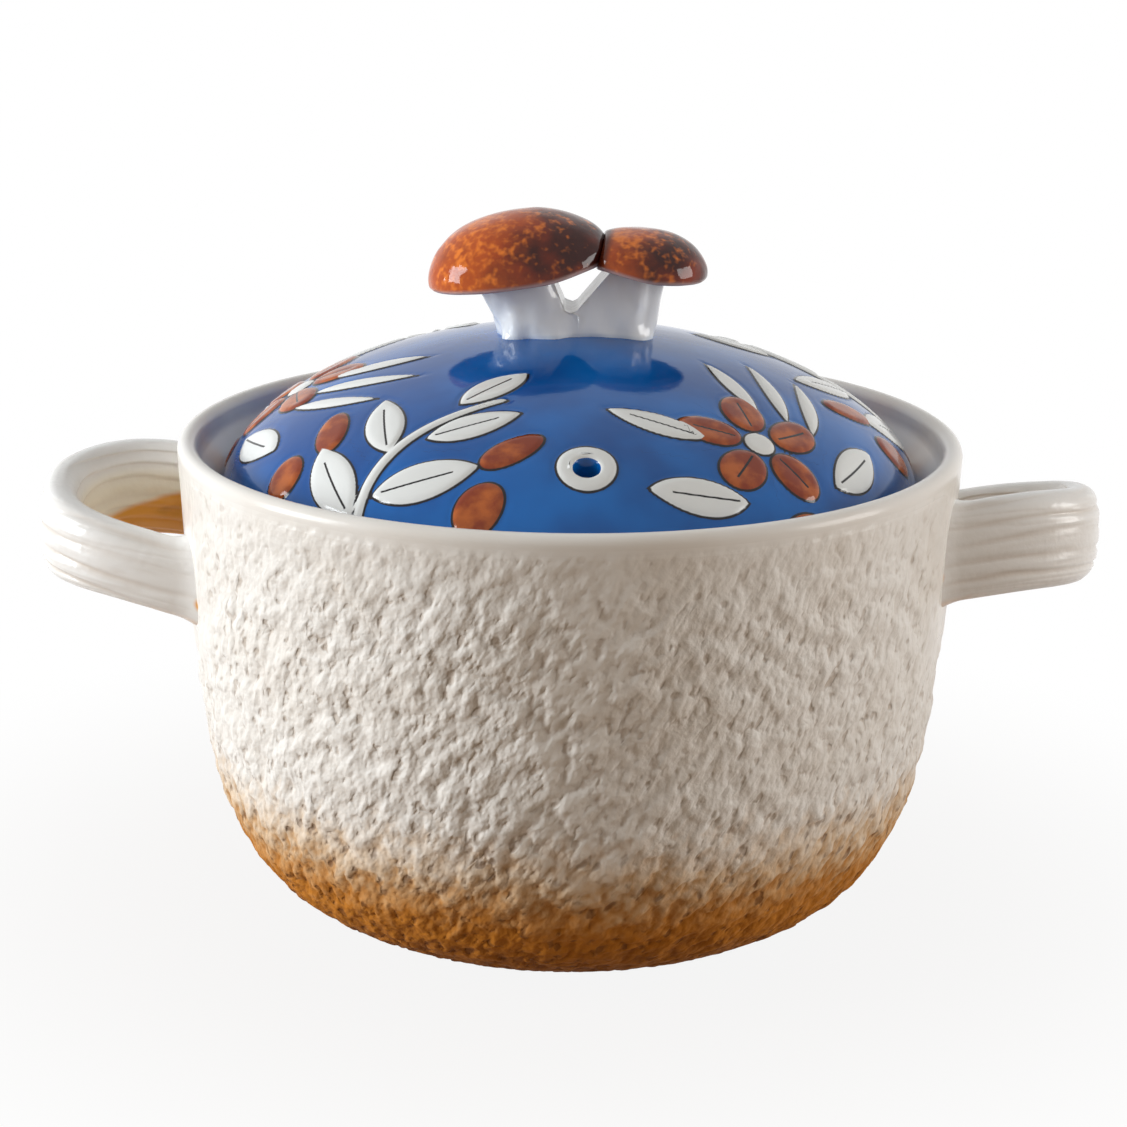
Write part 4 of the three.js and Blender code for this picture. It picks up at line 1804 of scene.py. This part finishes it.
    def stem(self, lid: Lid) -> bpy.types.Object:
        """The stem: superellipse rings from the dome up into the cap, with soft folds.

        Below the fork its rings reach past the other stem's, so that both make one mass, and
        above it they are pressed against the slanted side of the window between the stems.

        Args:
            lid: The lid that it stands on, whose dome its foot spreads over.

        Returns:
            The finished piece, which stands for the stem's solid.
        """
        side = self.half.value
        top = self.lift + self.tenon * self.height
        level = np.linspace(self.stem_foot, top, self.stem_rows)[:, None]
        share = np.clip((level + self.stem_narrow) / (top + self.stem_narrow), 0.0, 1.0)
        centre = self.foot + share * (self.head - self.foot)
        half = (self.foot_length + share * (self.head_length - self.foot_length)) / 2
        turn = round_turn(self.stem_columns)[None, :]
        away_x, away_y = (drawn(f(turn), self.stem_squareness) for f in (np.cos, np.sin))
        merged = smooth_step(self.fork + self.merge_height, self.fork, level)
        merged = merged * (side * away_x < 0.0)
        x = centre + half * away_x * (1.0 + (self.merge - 1.0) * merged)
        y = self.stem_depth / 2 * away_y + 0.0 * level
        above = level - (lid.height_at(np.hypot(x, y)) - lid.rise)
        joint = smooth_step(self.joint_reach, 0.0, np.abs(x - self.stem_seam))
        y = y * (1.0 + (self.joint_depth - 1.0) * joint)
        fold, wave = (ClayNoise(seed) for seed in self.stem_seeds)
        at = np.stack([x, y, self.fold_stretch * level + 0.0 * x], -1)
        (high, size), (fold_high, fold_size), (wave_high, wave_size) = (
            self.foot_waves, self.folds, self.waves
        )
        spread = np.exp(-np.clip(above, 0.0, self.foot_top) / self.foot_fade)
        spread = spread * (self.foot_spread + high * wave(at, size))
        push = spread + fold_high * fold(at, fold_size) + wave_high * wave(at, wave_size)
        push = push - self.push_base
        x, y = x + push * away_x, y + push * away_y
        slant = (level - self.fork) / (self.window_height - self.fork)
        window = self.window_foot + slant * (self.window_head - self.window_foot)
        opened = smooth_step(self.fork - self.fork_soft, self.fork + self.fork_soft, level)
        seam = self.stem_seam - self.stem_overlap * side
        x = self.pressed(x, seam + opened * (window - seam))
        places = np.stack([x, y, level + self.crown + 0.0 * x], -1)
        skin = Rings(places, {"pool": smooth_step(self.pool_height, 0.0, above)}).surface()
        name = f"knob_stem_{self.half.name.lower()}"
        return finished(skin, "lid", name, WhiteGlaze())


LARGE_MUSHROOM = Mushroom(
    half=Half.LARGE,
    length=48.0,
    depth=38.0,
    height=15.8,
    centre=-12.8,
    lift=15.0,
    tilt=9.0,
    curl=1.3,
    foot=-7.4,
    foot_length=21.6,
    head=-11.9,
    head_length=34.0,
    stem_depth=20.0,
    window_foot=-1.4,
    window_head=-6.5,
    joint_depth=0.875,
)
SMALL_MUSHROOM = Mushroom(
    half=Half.SMALL,
    length=34.0,
    depth=30.0,
    height=10.4,
    centre=17.9,
    lift=16.0,
    tilt=-6.0,
    curl=1.4,
    foot=8.7,
    foot_length=25.0,
    head=9.7,
    head_length=29.0,
    stem_depth=15.0,
    window_foot=0.9,
    window_head=11.8,
    joint_depth=1.16,
)


@dataclass(frozen=True)
class Lamp:
    """A soft rectangular lamp.

    Attributes:
        name: The lamp's name.
        place: Its centre, in metres.
        size: Its width and height, in metres.
        watts: Its power.
        colour: Its colour.
    """

    name: str
    place: Triple
    size: Span
    watts: float
    colour: Colour


@dataclass
class Studio:
    """A pale floor, soft light mostly from the left, and the camera in front of the pot.

    The floor's rings are in metres. Each share of the world's light runs along one axis, with
    the directions between which it changes and its values there.
    """

    camera_place: Triple = (0.0, -0.77757, 0.31411)
    camera_pitch: float = 16.0146
    camera_yaw: float = -0.0967
    camera_roll: float = -0.6
    lens: float = 99.66
    sensor: float = 36.0
    target_height: float = 0.09
    floor_rings: tuple[float, ...] = (0.2, 0.5, 1.0, 3.0, 8.0)
    floor_columns: int = 64
    floor_tone: Colour = (0.30, 0.20, 0.12)
    floor_white: float = 0.9
    shadow: Span = (0.08, 0.25)
    cool: Colour = (0.93, 0.97, 1.0)
    warm: Colour = (1.0, 0.84, 0.68)
    warm_front: tuple[float, ...] = (-0.9, 0.3, 1.0, 0.0)
    bright_left: tuple[float, ...] = (-0.95, 0.3, 0.9, 0.36)
    dim_front: tuple[float, ...] = (-0.9, 0.2, 0.5, 1.0)
    lamps: tuple[Lamp, ...] = (
        Lamp("left_window", (-1.3, -0.24, 0.36), (0.6, 0.75), 18.0, (0.90, 0.955, 1.0)),
        Lamp("right_window", (1.27, -0.2, 0.28), (0.6, 0.8), 10.0, (1.0, 0.985, 0.965)),
    )

    def floor(self) -> None:
        """A wide round floor: a flat disc, white to the camera away from the shadow."""
        turn = round_turn(self.floor_columns)
        rays = np.stack([np.cos(turn), np.sin(turn), 0 * turn], 1)
        rings = Rings(np.array(self.floor_rings[::-1])[:, None, None] / MM * rays, {})
        points, quads = rings.places.reshape(-1, 3), rings.quads().reshape(-1, 4)
        middle = np.arange(len(points) - len(turn), len(points))[None, :]
        floor = Surface(points, [quads, middle], {}).piece("floor")
        nodes = GlazeNodes("pale_floor", 1.0)
        nodes.tree.nodes.remove(nodes.shader)
        matt = nodes.add("ShaderNodeBsdfDiffuse", self.floor_tone).outputs[0]
        glow = nodes.add("ShaderNodeEmission").outputs[0]
        far = nodes.add("ShaderNodeVectorMath", nodes.place, operation="LENGTH")
        away = nodes.step(far.outputs["Value"], *self.shadow)
        share = nodes.sum((away, 1.0 - self.floor_white), base=self.floor_white)
        blend = nodes.blend(nodes.times(share, nodes.seen()), matt, glow)
        nodes.feed(nodes.tree.nodes["Material Output"].inputs[0], blend)
        floor.data.materials.append(nodes.material)

    def world(self) -> None:
        """Soft light all round: bright from the left, dim and warm from the front."""
        world = bpy.data.worlds.new("studio")
        bpy.context.scene.world = world
        world.use_nodes = True
        nodes = Nodes(world.node_tree)
        nodes.tree.nodes.clear()
        place = nodes.add("ShaderNodeTexCoord").outputs["Generated"]
        split = nodes.add("ShaderNodeSeparateXYZ", place).outputs
        front = nodes.step(split["Y"], *self.warm_front)
        side = nodes.step(split["X"], *self.bright_left)
        dim = nodes.step(split["Y"], *self.dim_front)
        tone = nodes.mix(front, self.cool, self.warm)
        soft = nodes.add("ShaderNodeBackground", tone, nodes.times(side, dim)).outputs[0]
        white = nodes.add("ShaderNodeBackground", (1.0, 1.0, 1.0)).outputs[0]
        nodes.add("ShaderNodeOutputWorld", nodes.blend(nodes.seen(), soft, white))

    def aim(self, data: bpy.types.ID, place: Triple, axes: list[Array]) -> bpy.types.Object:
        """A lamp or camera as an object.

        Args:
            data: The lamp or camera.
            place: Its place, in metres.
            axes: Its right, up and back axes.

        Returns:
            The object, linked to the scene.
        """
        item = bpy.data.objects.new(data.name, data)
        bpy.context.scene.collection.objects.link(item)
        turned = Matrix(np.stack(axes, 1).tolist()).to_4x4()
        item.matrix_world = Matrix.Translation(place) @ turned
        return item

    def lamp(self, lamp: Lamp) -> None:
        """A lamp that faces the pot.

        Args:
            lamp: What it is like.
        """
        data = bpy.data.lights.new(lamp.name, "AREA")
        data.shape = "RECTANGLE"
        data.size, data.size_y = lamp.size
        data.energy = lamp.watts
        data.color = lamp.colour
        back = np.array(lamp.place) - self.target_height * UP
        back /= np.linalg.norm(back)
        side = np.cross(UP, back)
        side /= np.linalg.norm(side)
        self.aim(data, lamp.place, [side, np.cross(back, side), back])

    def camera(self) -> None:
        """The camera, from its place, pitch, yaw and roll."""
        turns = self.camera_pitch, self.camera_yaw, self.camera_roll
        pitch, yaw, roll = (math.radians(turn) for turn in turns)
        level = math.cos(pitch)
        ahead = np.array([math.sin(yaw) * level, math.cos(yaw) * level, -math.sin(pitch)])
        right = np.cross(ahead, UP)
        right /= np.linalg.norm(right)
        up = np.cross(right, ahead)
        rolled = right * math.cos(roll) - up * math.sin(roll)
        upright = right * math.sin(roll) + up * math.cos(roll)
        data = bpy.data.cameras.new("camera")
        data.lens, data.sensor_width = self.lens, self.sensor
        camera = self.aim(data, self.camera_place, [rolled, upright, -ahead])
        bpy.context.scene.camera = camera

    def build(self) -> None:
        """Sets the stage, the light, the camera and the plain view transform."""
        self.floor()
        self.world()
        for lamp in self.lamps:
            self.lamp(lamp)
        self.camera()
        bpy.context.scene.view_settings.view_transform = "Standard"


def main() -> None:
    """Builds the pot, its handles, the lid and its knob, and the studio round them."""
    logging.basicConfig(level=logging.INFO, format="%(name)s: %(message)s")
    Pot().build()
    for side in Side:
        LoopHandle(side).build()
    lid = Lid()
    lid.build()
    for mushroom in (LARGE_MUSHROOM, SMALL_MUSHROOM):
        mushroom.cap()
        mushroom.stem(lid)
    Studio().build()


if __name__ == "__main__":
    main()
